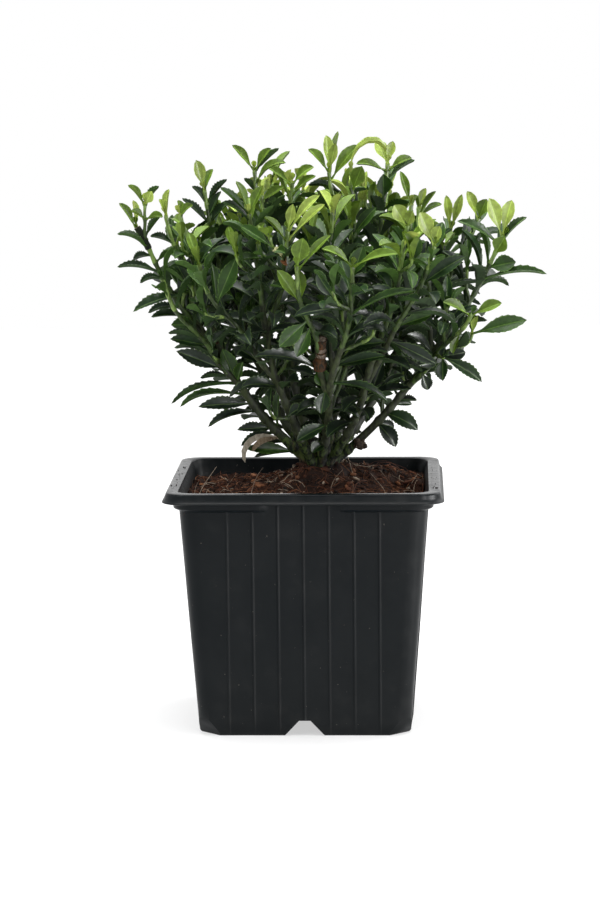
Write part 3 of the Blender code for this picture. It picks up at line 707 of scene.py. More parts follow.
class Limb:
    """A tapering curve in metres that leaves start in one direction and arrives at end in another."""

    SAMPLES = 48

    def __init__(self, start, leaving, end, arriving, radii, rng, wander=WANDER):
        hold = CURVE_HOLD * (end - start).length
        first = start + leaving.normalized() * hold
        second = end - arriving.normalized() * hold
        turn = rng.uniform(0, math.tau)
        stray = Vector((math.cos(turn), math.sin(turn), 0)) * wander * MM
        self.points = []
        for step in range(self.SAMPLES + 1):
            t = step / self.SAMPLES
            u = 1 - t
            even = start * u**3 + first * 3 * u * u * t + second * 3 * u * t * t + end * t**3
            self.points.append(even + stray * math.sin(math.pi * t) * math.sin(3 * math.pi * t))
        self.along = [0.0]
        for low, high in zip(self.points, self.points[1:]):
            self.along.append(self.along[-1] + (high - low).length)
        self.length = self.along[-1]
        self.radii = radii
        self.top = self.length  # where the shoot ends in leaf
        self.taken = []  # distances along it of the set leaves, each with the side that it stands on

    def at(self, distance):
        """The point at a distance along the curve, and its direction there."""
        distance = min(max(distance, 0), self.length)
        i = 1
        while i < self.SAMPLES and self.along[i] < distance:
            i += 1
        low, high = self.points[i - 1], self.points[i]
        share = (distance - self.along[i - 1]) / (self.along[i] - self.along[i - 1])
        return low.lerp(high, share), (high - low).normalized()

    def radius(self, distance):
        foot, tip = self.radii
        return (foot + (tip - foot) * (distance / self.length) ** TAPER) * MM


def polar(bearing, reach, height):
    turn = math.radians(bearing)
    x, y = TRUNK_PLACE
    return Vector((x + reach * math.cos(turn), y + reach * math.sin(turn), height)) * MM


def outward(point):
    """The level direction from the trunk's axis to a point."""
    return Vector((point.x - TRUNK_PLACE[0] * MM, point.y - TRUNK_PLACE[1] * MM, 0)).normalized()


def tip_direction(tip):
    reach = math.hypot(tip.x - TRUNK_PLACE[0] * MM, tip.y - TRUNK_PLACE[1] * MM)
    return Vector((0, 0, 1)) + outward(tip) * TIP_LEAN * (reach / (LEAN_REACH * MM)) ** 2


def plan_limbs():
    """For each mass, its leader from the trunk on, and the side shoots that fork from it."""
    plan = {}
    rng = random.Random(PLAN_SEED)
    for name, (bearing, rise, shoots) in MASSES.items():
        tips = [polar(*shoot) for shoot in shoots]
        turn = math.radians(bearing)
        away = Vector((math.cos(turn), math.sin(turn), 0))
        steep = math.radians(rise)
        leaving = away * math.cos(steep) + Vector((0, 0, math.sin(steep)))
        start = Vector((*TRUNK_PLACE, TRUNK_FOOT + LIMB_START_HEIGHT)) * MM + away * LIMB_START * MM
        radii = (LIMB_RADIUS * math.sqrt(len(tips)), LIMB_TIP_RADIUS)
        leader = Limb(start, leaving, tips[0], tip_direction(tips[0]), radii, rng)
        sides = []
        by_height = sorted(tips[1:], key=lambda tip: tip.z)
        for number, tip in enumerate(by_height):
            share = FORKS[0] + (FORKS[1] - FORKS[0]) * (number + 0.5) / len(by_height)
            fork, direction = leader.at(share * leader.length)
            foot = min(SIDE_RADII[0], FORK_SHARE * leader.radius(share * leader.length) / MM)
            leaving = direction + (tip - fork).normalized()
            sides.append(Limb(fork, leaving, tip, tip_direction(tip), (foot, SIDE_RADII[1]), rng))
        plan[name] = (leader, sides)
    return plan


plan = plan_limbs()
print(sum(1 + len(sides) for _, sides in plan.values()), "shoots planned")

# %% [markdown]
# The soil is a moist, loose mix of red-brown bark and coir. It is high round the stems and sinks towards
# the back corners. One lumpy bed fills the pot, and what one really sees lies on it: crumbs, flat chips of
# bark, and hundreds of springy fibres that cross each other. The fibres are one heap, the crumbs and chips
# another, and both take a few plain tints.

# %% The soil's sizes, in millimetres
SOIL_EDGE = 74.2
SOIL_MOUND = (5.3, 23)  # height and spread
SOIL_RISE = (2.4, (30, 12), (14, 16))  # height, place and size of the rise on the right
SOIL_LUMP = 0.5
SOIL_SIDE = 38.8  # from the middle to the pot's wall
SOIL_CORNER = 5.4
BED_DOWN = 0.3  # how far the bed lies under the solid's surface before its lumps rise
BED_FOOT = (6.8, 34)  # the bed's lowest height, and its half width there
BED_LUMPS = ((5.5, 1.1), (2.2, 1.1), (0.9, 0.5))  # size and depth
BED_HEAP = (3.4, 8.5)  # height and spread of the crumbs heaped over the trunk's knuckle
# The height, place and size of each loose bank.
BED_BANKS = ((3.6, (17, 9), (13, 11)), (1.6, (-8, 6), (12, 10)))
BED_CELLS = 130
SPOT_SQUARE = (33, 5)  # half the side and the corner radius of the square where crumbs and fibres lie
FIBRES = 2100
FIBRE_LENGTHS = (3, 4, 6, 8, 11, 15)
FIBRE_RADII = (0.05, 0.07, 0.09, 0.14)
FIBRE_STEPS = 5
FIBRE_EDGE = 38.2  # fibres turn back at the wall
CRUMBS = 1700
CRUMB_SIZES = (0.2, 0.25, 0.3, 0.4, 0.5, 0.7, 1.0)
CHIPS = 110
CHIP_SIZE = (0.9, 2.4)
FIBRE_TINTS = (12, 30, 30, 22, 6)  # how common each of the five tints is, here and below
CRUMB_TINTS = (34, 34, 20, 9, 3)
CHIP_TINTS = (14, 30, 28, 16, 12)
# Each hair root: where it stands, how far it leans to the right, how high it rises and its radius.
HAIR_ROOTS = (
    (-34, -24, 5.5, 10.5, 0.13), (-36.5, -12, 1.6, 6, 0.09), (-18, -16, 4.5, 9.5, 0.08),
    (-27, 4, 3.5, 5, 0.08), (26, -12, -5, 7, 0.11), (8, -14, 4, 6.5, 0.08), (-30, -30, -2.5, 4, 0.08),
    (33, 2, -6, 3.2, 0.1),
)
HAIR_STEPS = 12
SPECKS = 46  # specks of soil on the flange
SPECK_SIZES = (0.1, 0.14, 0.2, 0.32)
SPECK_ROW = (40.8, 43)  # how far to the side they lie
SOIL_DRY = 0.95  # the roughness of a dry patch
SOIL_DARK = (0.042, 0.018, 0.011)
SOIL_TINTS = {
    "soil_black": (0.014, 0.008, 0.006),
    "soil_brown": (0.060, 0.027, 0.017),
    "soil_red": (0.140, 0.052, 0.028),
    "soil_orange": (0.330, 0.140, 0.068),
    "soil_pale": (0.560, 0.440, 0.330),
}


def from_trunk(x, y):
    return math.hypot(x - TRUNK_PLACE[0], y - TRUNK_PLACE[1])


def hill(x, y, rise, place, size):
    return rise * math.exp(-(((x - place[0]) / size[0]) ** 2) - ((y - place[1]) / size[1]) ** 2)


def soil_height(x, y):
    """The soil's height, level under the trunk, as the solid has it."""
    height = SOIL_EDGE + SOIL_MOUND[0] * math.exp(-((from_trunk(x, y) / SOIL_MOUND[1]) ** 2))
    height += hill(x, y, *SOIL_RISE)
    lumps = math.sin(x / 3.1 + 1) * math.cos(y / 4.3) + math.sin((x + y) / 5.2)
    return height + SOIL_LUMP * lumps * min(1, from_trunk(x, y) / (2 * TRUNK_RADIUS)) ** 2


def bed_height(x, y):
    """The soil's height with its loose banks and crumbly lumps."""
    heap, spread = BED_HEAP
    height = soil_height(x, y) - BED_DOWN + heap * math.exp(-((from_trunk(x, y) / spread) ** 4))
    for bank in BED_BANKS:
        height += hill(x, y, *bank)
    for size, depth in BED_LUMPS:
        height += depth * noise.noise(Vector((x / size, y / size, size)))
    return height


def into_square(x, y):
    """A point of a sharp square, moved into one with round corners."""
    inner = SOIL_SIDE - SOIL_CORNER
    if min(abs(x), abs(y)) <= inner:
        return x, y
    away_x, away_y = abs(x) - inner, abs(y) - inner
    shrink = max(away_x, away_y) / math.hypot(away_x, away_y)
    return math.copysign(inner + away_x * shrink, x), math.copysign(inner + away_y * shrink, y)


def soil_finish(name, color):
    """A crumbly finish of one plain colour, with damp and dry patches."""
    finish = Finish(name, specular_ior_level=0.12)
    patches = finish.grain(3 * MM, 3)
    fine = finish.grain(0.5 * MM, 3)
    shade = finish.step(patches * 0.6 + fine * 0.4, 0.3, 0.7)
    finish.set(
        base_color=finish.mix(shade, *shades(color, 0.55, 1.35)),
        roughness=finish.step(patches, 0.3, 0.7, SOIL_DRY - 0.15, SOIL_DRY),
        normal=finish.bump(fine, 0.25 * MM, 0.8),
    )
    return finish


def make_soil_bed():
    bm = bmesh.new()
    bmesh.ops.create_grid(bm, x_segments=BED_CELLS, y_segments=BED_CELLS, size=SOIL_SIDE)
    for vertex in bm.verts:
        x, y = into_square(vertex.co.x, vertex.co.y)
        vertex.co = Vector((x, y, bed_height(x, y))) * MM
    edge = [e for e in bm.edges if e.is_boundary]
    skirt = bmesh.ops.extrude_edge_only(bm, edges=edge)["geom"]
    foot = [g for g in skirt if isinstance(g, bmesh.types.BMVert)]
    shrink = BED_FOOT[1] / SOIL_SIDE
    for vertex in foot:
        vertex.co = Vector((vertex.co.x * shrink, vertex.co.y * shrink, BED_FOOT[0] * MM))
    low = set(foot)
    bmesh.ops.contextual_create(bm, geom=[e for e in bm.edges if e.verts[0] in low and e.verts[1] in low])
    bmesh.ops.recalc_face_normals(bm, faces=bm.faces)
    mesh = mesh_of("soil_bed", bm)
    mesh.materials.append(soil_finish("soil_dark", SOIL_DARK).material)
    mesh.shade_smooth()
    add_piece("soil_bed", mesh, "soil", "soil")


soil_finishes = [soil_finish(name, color) for name, color in SOIL_TINTS.items()]


def spot_on_soil(rng, margin):
    """A random place on the soil, and the height of the bed there."""
    straight, corner = SPOT_SQUARE
    while True:
        x = rng.uniform(-1, 1) * (SOIL_SIDE - margin)
        y = rng.uniform(-1, 1) * (SOIL_SIDE - margin)
        if math.hypot(max(0, abs(x) - straight), max(0, abs(y) - straight)) < corner - margin / 2:
            return x, y, bed_height(x, y)


def one_of(shares, rng):
    """The number of a soil tint, drawn by how common each is."""
    return rng.choices(range(len(shares)), shares)[0]


def make_fibres():
    rng = random.Random("fibres")
    heap = Heap()
    for _ in range(FIBRES):
        x, y, _ = spot_on_soil(rng, 1.2)
        heading = rng.uniform(0, math.tau)
        bend = rng.uniform(-0.16, 0.16)
        length = rng.choice(FIBRE_LENGTHS) * rng.uniform(0.8, 1.2)
        arch = rng.uniform(-0.1, 0.6) * rng.random() * length * 0.25
        thick = rng.choice(FIBRE_RADII) * rng.uniform(0.8, 1.2)
        path = []
        radii = []
        for i in range(FIBRE_STEPS + 1):
            t = i / FIBRE_STEPS
            height = bed_height(x, y) + 0.3 + arch * math.sin(math.pi * t)
            path.append(Vector((x, y, height - 0.5 * (2 * t - 1) ** 8)) * MM)
            radii.append(thick * MM * (0.55 + 0.45 * math.sin(math.pi * (0.08 + 0.84 * t))))
            x = min(max(x + math.cos(heading) * length / FIBRE_STEPS, -FIBRE_EDGE), FIBRE_EDGE)
            y = min(max(y + math.sin(heading) * length / FIBRE_STEPS, -FIBRE_EDGE), FIBRE_EDGE)
            heading += bend + rng.uniform(-0.25, 0.25)
        tube(heap, path, radii, 3, one_of(FIBRE_TINTS, rng))
    add_piece("soil_fibres", heap.mesh("soil_fibres", soil_finishes, 80), "soil")


def lump(heap, middle, size, squash, tint, rng):
    """A rough lump: a small ball whose points are pushed in and out."""
    bm = bmesh.new()
    bmesh.ops.create_icosphere(bm, subdivisions=2 if size > 0.7 else 1, radius=1)
    angle = rng.uniform(0, math.tau)
    turn = Matrix.Rotation(angle, 3, Vector((rng.random(), rng.random(), 1)).normalized())
    shift = Vector((rng.uniform(0, 90), 0, 0))
    for vertex in bm.verts:
        out = 1 + 0.45 * noise.noise(vertex.co * 1.3 + shift)
        flat = Vector((vertex.co.x, vertex.co.y * 0.8, vertex.co.z * squash))
        vertex.co = Vector(middle) * MM + turn @ flat * out * size * MM
    bm.verts.index_update()
    heap.add([v.co.copy() for v in bm.verts], [[v.index for v in f.verts] for f in bm.faces], tint)
    bm.free()


def chip(heap, middle, size, thick, tint, rng):
    """A flat splinter of bark with an uneven outline."""
    corners = rng.choice((5, 6, 7))
    lean = Matrix.Rotation(rng.uniform(-0.5, 0.5), 3, "X") @ Matrix.Rotation(rng.uniform(-0.4, 0.4), 3, "Y")
    turn = Matrix.Rotation(rng.uniform(0, math.tau), 3, "Z")
    reach = [size * rng.uniform(0.65, 1) for _ in range(corners)]
    rings = []
    for level, share in ((-0.5, 0.9), (-0.2, 1), (0.25, 1), (0.5, 0.86)):
        ring = []
        for i, radius in enumerate(reach):
            angle = math.tau * i / corners
            flat = Vector((math.cos(angle) * radius * share, math.sin(angle) * radius * share * 0.55,
                           level * thick))
            ring.append((Vector(middle) + turn @ lean @ flat) * MM)
        rings.append(ring)
    heap.rings(rings, tint)


def make_crumbs():
    rng = random.Random("crumbs")
    heap = Heap()
    for _ in range(CRUMBS):
        size = rng.choice(CRUMB_SIZES) * rng.uniform(0.8, 1.2)
        x, y, z = spot_on_soil(rng, size + 0.4)
        tint = one_of(CRUMB_TINTS, rng)
        lump(heap, (x, y, z + size * 0.25), size, rng.uniform(0.45, 0.8), tint, rng)
    for _ in range(CHIPS):
        size = rng.uniform(*CHIP_SIZE)
        x, y, z = spot_on_soil(rng, size + 0.3)
        tint = one_of(CHIP_TINTS, rng)
        chip(heap, (x, y, z + 0.5), size, rng.uniform(0.3, 0.7), tint, rng)
    add_piece("soil_crumbs", heap.mesh("soil_crumbs", soil_finishes, 60), "soil")


def make_hair_roots():
    """Thin pale roots and threads that stand out of the soil and lean on the pot's wall."""
    rng = random.Random("hair roots")
    heap = Heap()
    for x, y, lean, height, thick in HAIR_ROOTS:
        z = bed_height(x, y)
        path = []
        radii = []
        for step in range(HAIR_STEPS + 1):
            t = step / HAIR_STEPS
            right = x + lean * t**1.6 + 0.25 * math.sin(5 * t + x)
            path.append(Vector((right, y + 2.5 * t * t, z - 0.5 + (height + 0.5) * t)) * MM)
            radii.append(thick * MM * (1 - 0.6 * step / HAIR_STEPS))
        tube(heap, path, radii, 5, 4)
    for _ in range(SPECKS):
        side = rng.choice((-1, 1))
        along = -30 + 52 * rng.random() ** 2
        across = side * rng.uniform(*SPECK_ROW)
        lump(heap, (across, along, POT_HEIGHT + 0.08), rng.choice(SPECK_SIZES), 0.6, 0, rng)
    add_piece("soil_threads", heap.mesh("soil_threads", soil_finishes, 60), "soil")


make_soil_bed()
make_fibres()
make_crumbs()
make_hair_roots()

# %% [markdown]
# The woody foot. The trunk is barely there: a knuckle at ground level that breaks at once into green-grey
# stems. Separate tubes would show creases where they meet, so trunk and boughs are drawn as overlapping
# tubes, a little thicker where leaves once grew, then a Remesh modifier melts them into one skin. The
# bark's relief is pushed into that skin afterwards: small ridges that run upwards, and a fine grain.

# %% The bark
SKIN_VOXEL = 0.3 * MM
BARK_RELIEF = 0.22 * MM
BARK_STEP = 0.7 * MM
BARK_SIDES = 16
RIDGES = (0.9, 3.2)  # width and length in millimetres
GRAINS = 0.45
TRUNK_SIDES = 40
KNOT_SPACING = 5.5 * MM
KNOT_SWELL = 0.3
KNOT_REACH = 1.1 * MM


def bark_finish():
    """Grey-green skin with brown, corky patches near the ground, mottled in part with painted highlight."""
    finish = Finish("bark_foot", specular_ior_level=0.18)
    height = finish.part(finish.place(), "Z")
    patches = finish.grain(3.5 * MM, 4, finish.place((1, 1, 0.45)))
    fine = finish.grain(0.5 * MM, 4, finish.place((1, 1, 0.35)))
    mottles = finish.grain(1.5 * MM, 3, finish.place((1, 1, 0.5)))
    low = finish.step(height, 80 * MM, 87 * MM, 0.12, -0.1)
    brown = finish.step(patches + low, 0.45, 0.62)
    # Real mottled colour, whose light green also stands for painted highlights.
    mottle_and_highlight = finish.step(mottles * 0.7 + fine * 0.3, 0.42, 0.62)
    green = finish.mix(mottle_and_highlight, (0.008, 0.017, 0.007), (0.104, 0.162, 0.036))
    cork = finish.mix(mottle_and_highlight, (0.018, 0.012, 0.008), (0.125, 0.080, 0.050))
    finish.set(
        base_color=finish.mix(brown, green, cork),
        roughness=finish.step(fine, 0.3, 0.7, 0.62, 0.85),
        normal=finish.bump(fine * 0.5 + mottles * 0.5, 0.5 * MM, 0.8),
    )
    return finish


def limb_tube(heap, limb, start, end, step, sides, tints, pointed=False, knots=()):
    """A stretch of a limb, a little thicker at each knot. tints gives a finish for each distance."""
    count = max(2, round((end - start) / step))
    places = [start + (end - start) * i / count for i in range(count + 1)]
    path = [limb.at(place)[0] for place in places]
    radii = []
    for place in places:
        swell = sum(math.exp(-(((place - knot) / KNOT_REACH) ** 2)) for knot in knots)
        radii.append(limb.radius(place) * (1 + KNOT_SWELL * min(1, swell)))
    along = [tints(place) for place in places]
    first = 0
    while first < count:
        last = first + 1
        while last < count and along[last] == along[first]:
            last += 1
        closed = pointed and last == count
        tube(heap, path[first:last + 1], radii[first:last + 1], sides, along[first], closed)
        first = last


def make_bark():
    heap = Heap()
    rings = []
    x, y = TRUNK_PLACE
    for height, share in TRUNK_PROFILE:
        ring = []
        for side in range(TRUNK_SIDES):
            turn = math.tau * side / TRUNK_SIDES
            lobe = 1 + 0.1 * share * math.cos(TRUNK_LOBES * turn)
            radius = TRUNK_RADIUS * share * lobe
            ring.append(Vector((x + radius * math.cos(turn), y + radius * math.sin(turn),
                                TRUNK_FOOT + height)) * MM)
        rings.append(ring)
    heap.rings(rings, 0)
    for leader, _ in plan.values():
        end = BOUGH_SHARE * leader.length + 1 * MM
        knots = [end - KNOT_SPACING * i for i in range(1, 4)]
        limb_tube(heap, leader, 0, end, BARK_STEP, BARK_SIDES, lambda place: 0, knots=knots)
    mesh = applied(heap.mesh("bark", []), "bark", ("REMESH", {"mode": "VOXEL", "voxel_size": SKIN_VOXEL}),
                   ("SMOOTH", {"factor": 0.6, "iterations": 3}))
    for vertex, normal in zip(mesh.vertices, [v.normal.copy() for v in mesh.vertices]):
        place = vertex.co / MM
        ridges = noise.noise(Vector((place.x / RIDGES[0], place.y / RIDGES[0], place.z / RIDGES[1])))
        grains = noise.noise(place / GRAINS)
        vertex.co += normal * BARK_RELIEF * (ridges + 0.5 * grains)
    mesh.materials.clear()
    mesh.materials.append(bark_finish().material)
    mesh.shade_smooth()
    boughs = [f"bough_{name}" for name in MASSES]
    add_piece("bark_of_trunk_and_boughs", mesh, "bark", "trunk", *boughs)


make_bark()

# %% [markdown]
# Sprouts. The real shoots branch again: short new twigs stand in the angles between leaf and stem, and
# their tips make most of the lime flush. They are the one order of twigs that the solids leave out. Each
# starts at a node of a planned shoot, and is kept only if it clears the other limbs, stays inside the
# crown's outline and hides nothing that the photograph shows in full view.

# %% Finer twigs
NODE_SPACING = (4.6 * MM, 5.3 * MM)  # between young pairs of leaves and between old ones
FULL_AGE = 24 * MM  # leaves this far below their shoot's tip are fully grown
AGE_POWER = 0.6  # leaves grow fastest while they are young
TIP_CLEAR = 0.6 * MM
# How far from a bough's foot its lowest leaves stand, where the photograph shows it, and elsewhere.
LOWEST_LEAF = {"front": 13 * MM, "middle_right": 12 * MM, "middle_left": 12 * MM, "right": 24 * MM,
               "front_right": 16 * MM, "left": 12 * MM, "front_left": 14 * MM}
LOWEST_LEAF_ELSEWHERE = 8 * MM
SIDE_FOOT = 5 * MM  # and from the foot of a side shoot, and of a sprout
SPROUT_FOOT = 1.5 * MM
SPROUT_CHANCE = 0.34
SPROUT_ROOM = (10 * MM, 95 * MM)  # distances from a shoot's tip between which sprouts stand
SPROUT_LENGTH = (6 * MM, 15 * MM)
SPROUT_RADII = (0.65, 0.42)
SPROUT_CLEAR = 2.4 * MM
SPROUT_BELOW = 2 * MM
SPROUT_TRIES = 5
TWIG_WANDER = 0.3
# Twigs that the photograph shows: for each mass, the pixel of the foot and of the tip, and how many
# millimetres nearer the tip is.
SEEN_TWIGS = {
    "left": (((147, 246), (145, 204), 2), ((150, 254), (136, 226), 1)),
    "middle_right": (((350, 200), (351, 172), 1),),
    "right": (((446, 366), (472, 334), 1),),
    "front": (((358, 424), (354, 328), 1),),
}
# The crown's outline in the photograph without the leaves that stand out of it: pixels, from the foot
# clockwise.
OUTLINE = (
    (300, 456), (262, 454), (246, 450), (250, 432), (232, 420), (208, 405), (212, 384), (205, 368),
    (180, 352), (170, 336), (170, 316), (156, 306), (150, 288), (152, 268), (150, 256), (164, 250),
    (165, 232), (170, 214), (180, 214), (190, 226), (200, 214), (202, 195), (212, 190), (220, 206),
    (236, 198), (246, 180), (252, 166), (268, 160), (284, 160), (300, 168), (314, 176), (328, 176),
    (330, 158), (344, 152), (358, 156), (370, 156), (380, 150), (396, 152), (400, 170), (406, 180),
    (410, 196), (426, 200), (436, 212), (446, 214), (456, 210), (466, 206), (480, 204), (496, 204),
    (508, 212), (508, 232), (506, 248), (502, 262), (496, 280), (486, 292), (494, 306), (486, 332),
    (462, 358), (446, 376), (426, 384), (408, 398), (396, 410), (384, 420), (374, 430), (366, 440),
    (352, 456),
)
SPROUT_ROOM_IN_VIEW = (Vector((0, 0, 7)) * MM, Vector((5, 0, 3)) * MM, Vector((-5, 0, 3)) * MM)
# What the photograph shows with nothing in front: pixels between which the pruned stub stands, a gap
# through which the white is seen, stretches of two boughs, in millimetres from their feet, and a thin twig.
# The set leaves are added to it later.
STUB_WINDOW = ((305, 328), (333, 374))
STUB_DEPTH = plan["front"][1][0].at(15 * MM)[0].y
SKY_WINDOW = ((285, 300), (420, 445))
SHOWN_BOUGHS = {"left": (7, 36), "right": (7, 33)}
SHOWN_TWIG = slice(4, 28)  # the points of the twig's curve
SHOWN_SHARES = (0.25, 0.4, 0.55, 0.7, 0.85)  # of a leaf's length
SHOWN_REACH = 4.5  # in pixels
SHOWN_NEARER = 0.5 * MM


def tree_from(items):
    tree = KDTree(len(items))
    for i, point in enumerate(items):
        tree.insert(point, i)
    tree.balance()
    return tree


def in_outline(point):
    """Whether the photograph shows a point inside the crown's outline."""
    x, y = pixel_of(point)
    inside = False
    for (x1, y1), (x2, y2) in zip(OUTLINE, (*OUTLINE[1:], OUTLINE[0])):
        if (y1 > y) != (y2 > y) and x < x1 + (y - y1) * (x2 - x1) / (y2 - y1):
            inside = not inside
    return inside


def in_window(pixel, window):
    return all(low < value < high for value, (low, high) in zip(pixel, window))


def in_the_way(point):
    """Whether a point would hide what the photograph shows."""
    pixel = pixel_of(point)
    if in_window(pixel, SKY_WINDOW) or in_window(pixel, STUB_WINDOW) and point.y < STUB_DEPTH:
        return True
    return shown.hidden_by(pixel, point.y)


class Shown:
    """Places that the photograph shows with nothing in front of them."""

    def __init__(self):
        self.places = []

    def add(self, points):
        self.places += [(*pixel_of(point), point.y) for point in points]
        self.tree = tree_from([(x, y, 0) for x, y, _ in self.places])

    def hidden_by(self, pixel, depth):
        near = self.tree.find_range((*pixel, 0), SHOWN_REACH)
        return any(depth < self.places[i][2] - SHOWN_NEARER for _, i, _ in near)


def aged(values, age):
    return values[0] + (values[1] - values[0]) * age


def leaf_nodes(limb, first):
    """The distance along a shoot of each pair of leaves, from its tip down, and the pair's age."""
    nodes = []
    distance = limb.top - TIP_CLEAR
    while distance > first:
        age = min(1, (limb.top - distance) / FULL_AGE) ** AGE_POWER
        nodes.append((distance, age))
        distance -= aged(NODE_SPACING, age)
    return nodes


def new_sprout(limb, distance, limbs, taken, rng):
    """A twig from one place on a shoot, if one is found that clears the limbs and the other sprouts."""
    start, along = limb.at(distance)
    for _ in range(SPROUT_TRIES):
        away = Matrix.Rotation(rng.uniform(0, math.tau), 3, along) @ along.orthogonal().normalized()
        end = start + (along * 0.75 + away * 0.62).normalized() * rng.uniform(*SPROUT_LENGTH)
        if end.z > limb.points[-1].z - SPROUT_BELOW:
            continue
        if not all(in_outline(end + room) for room in SPROUT_ROOM_IN_VIEW):
            continue
        arriving = along * 0.4 + Vector((0, 0, 0.9)) + away * 0.15
        sprout = Limb(start, along * 0.8 + away, end, arriving, SPROUT_RADII, rng, TWIG_WANDER)
        far = sprout.points[16::8]
        if any(limbs.find(point)[2] < SPROUT_CLEAR for point in far):
            continue
        if any((point - other).length < SPROUT_CLEAR for point in far for other in taken):
            continue
        if any(in_the_way(point) for point in sprout.points[::4]):
            continue
        taken += far
        return sprout
    return None


def add_sprouts(plan):
    """Short twigs in the leaf axils, as a list for each mass."""
    rng = random.Random("sprouts")
    every = [limb for leader, sides in plan.values() for limb in (leader, *sides)]
    limbs = tree_from([point for limb in every for point in limb.points[::2]])
    taken = []
    sprouts = {name: [] for name in plan}
    for name, (leader, sides) in plan.items():
        for limb in (leader, *sides):
            for distance, _ in leaf_nodes(limb, BOUGH_SHARE * limb.length + 6 * MM):
                from_tip = limb.length - distance
                if not SPROUT_ROOM[0] < from_tip < SPROUT_ROOM[1] or rng.random() > SPROUT_CHANCE:
                    continue
                sprout = new_sprout(limb, distance, limbs, taken, rng)
                if sprout:
                    sprouts[name].append(sprout)
    return sprouts


def nearest_on(limbs, pixel):
    """The limb that the photograph shows nearest to a pixel, and the distance along it."""
    def apart(limb, i):
        x, y = pixel_of(limb.points[i])
        return math.hypot(x - pixel[0], y - pixel[1])
    _, number, i = min((apart(limb, i), number, i) for number, limb in enumerate(limbs)
                       for i in range(Limb.SAMPLES + 1))
    return limbs[number], limbs[number].along[i]


def seen_twigs(plan):
    """The twigs that the photograph shows, as a list for each mass."""
    rng = random.Random("seen twigs")
    seen = {}
    for name, rows in SEEN_TWIGS.items():
        leader, sides = plan[name]
        seen[name] = []
        for foot, tip, nearer in rows:
            limb, distance = nearest_on((leader, *sides), foot)
            start, along = limb.at(distance)
            end = point_at(tip, start.y - nearer * MM)
            leaving = along + (end - start).normalized()
            twig = Limb(start, leaving, end, Vector((0, 0, 1)), SPROUT_RADII, rng, TWIG_WANDER)
            seen[name].append(twig)
    return seen


seen = seen_twigs(plan)
shown = Shown()
for name, (low, high) in SHOWN_BOUGHS.items():
    shown.add([plan[name][0].at(distance * MM)[0] for distance in range(low, high)])
shown.add(seen["front"][0].points[SHOWN_TWIG])
sprouts = add_sprouts(plan)
for name, twigs in seen.items():
    sprouts[name] += twigs
print(sum(len(some) for some in sprouts.values()), "sprouts")

# %% [markdown]
# One leaf. A spindle leaf is a thick, folded blade on a very short stalk: widest past its middle, with
# small forward teeth, a pale raised rib, a thin pale margin and a dull, paler underside. It leaves the stem
# steeply and arches over, most towards its tip. Young leaves are short, spoon-shaped and nearly upright.
# The blade is drawn as a flattened tube: rings of nine points, eight over the upper face and one under the
# rib, so it is closed and each strip keeps its finish. The upper face is quilted a little between the side
# veins.

# %% The shape of a leaf
LEAF_LENGTH = (10.6, 18.8)  # young and old, in millimetres, as for the rest
LEAF_WIDTH = (2.9, 5.5)
LEAF_ANGLE = (25, 58)
LEAF_DROOP = (0.0, 0.1)
LEAF_ARCH = (0.35, 1.0)  # how far the blade turns over along its length, in radians
ARCH_START = 0.3  # the share of that arch by which the blade first rises
HOOK = 1.5  # above 1, the blade turns over most near its tip
LEAF_FOLD = (1.2, 1.45)
LEAF_THICKNESS = 0.34
STALK = (0.1, 0.42)  # share of the length, and half width in millimetres
WIDEST = (0.69, 0.58)
# How drawn out a young leaf's foot and tip are, then an old one's: low is blunt.
BLUNT = ((1.8, 0.62), (1.3, 0.85))
TOOTH = 0.22
TOOTHED_AGE = (0.3, 0.9)  # younger leaves have smooth edges
TEETH = (4, 7)
TOOTHED = (0.34, 0.96)  # the stretch of the blade that has teeth
RIB_HALF_WIDTH = 0.16
MARGIN = 0.87  # the share of the half width where the margin begins
QUILT = 0.08


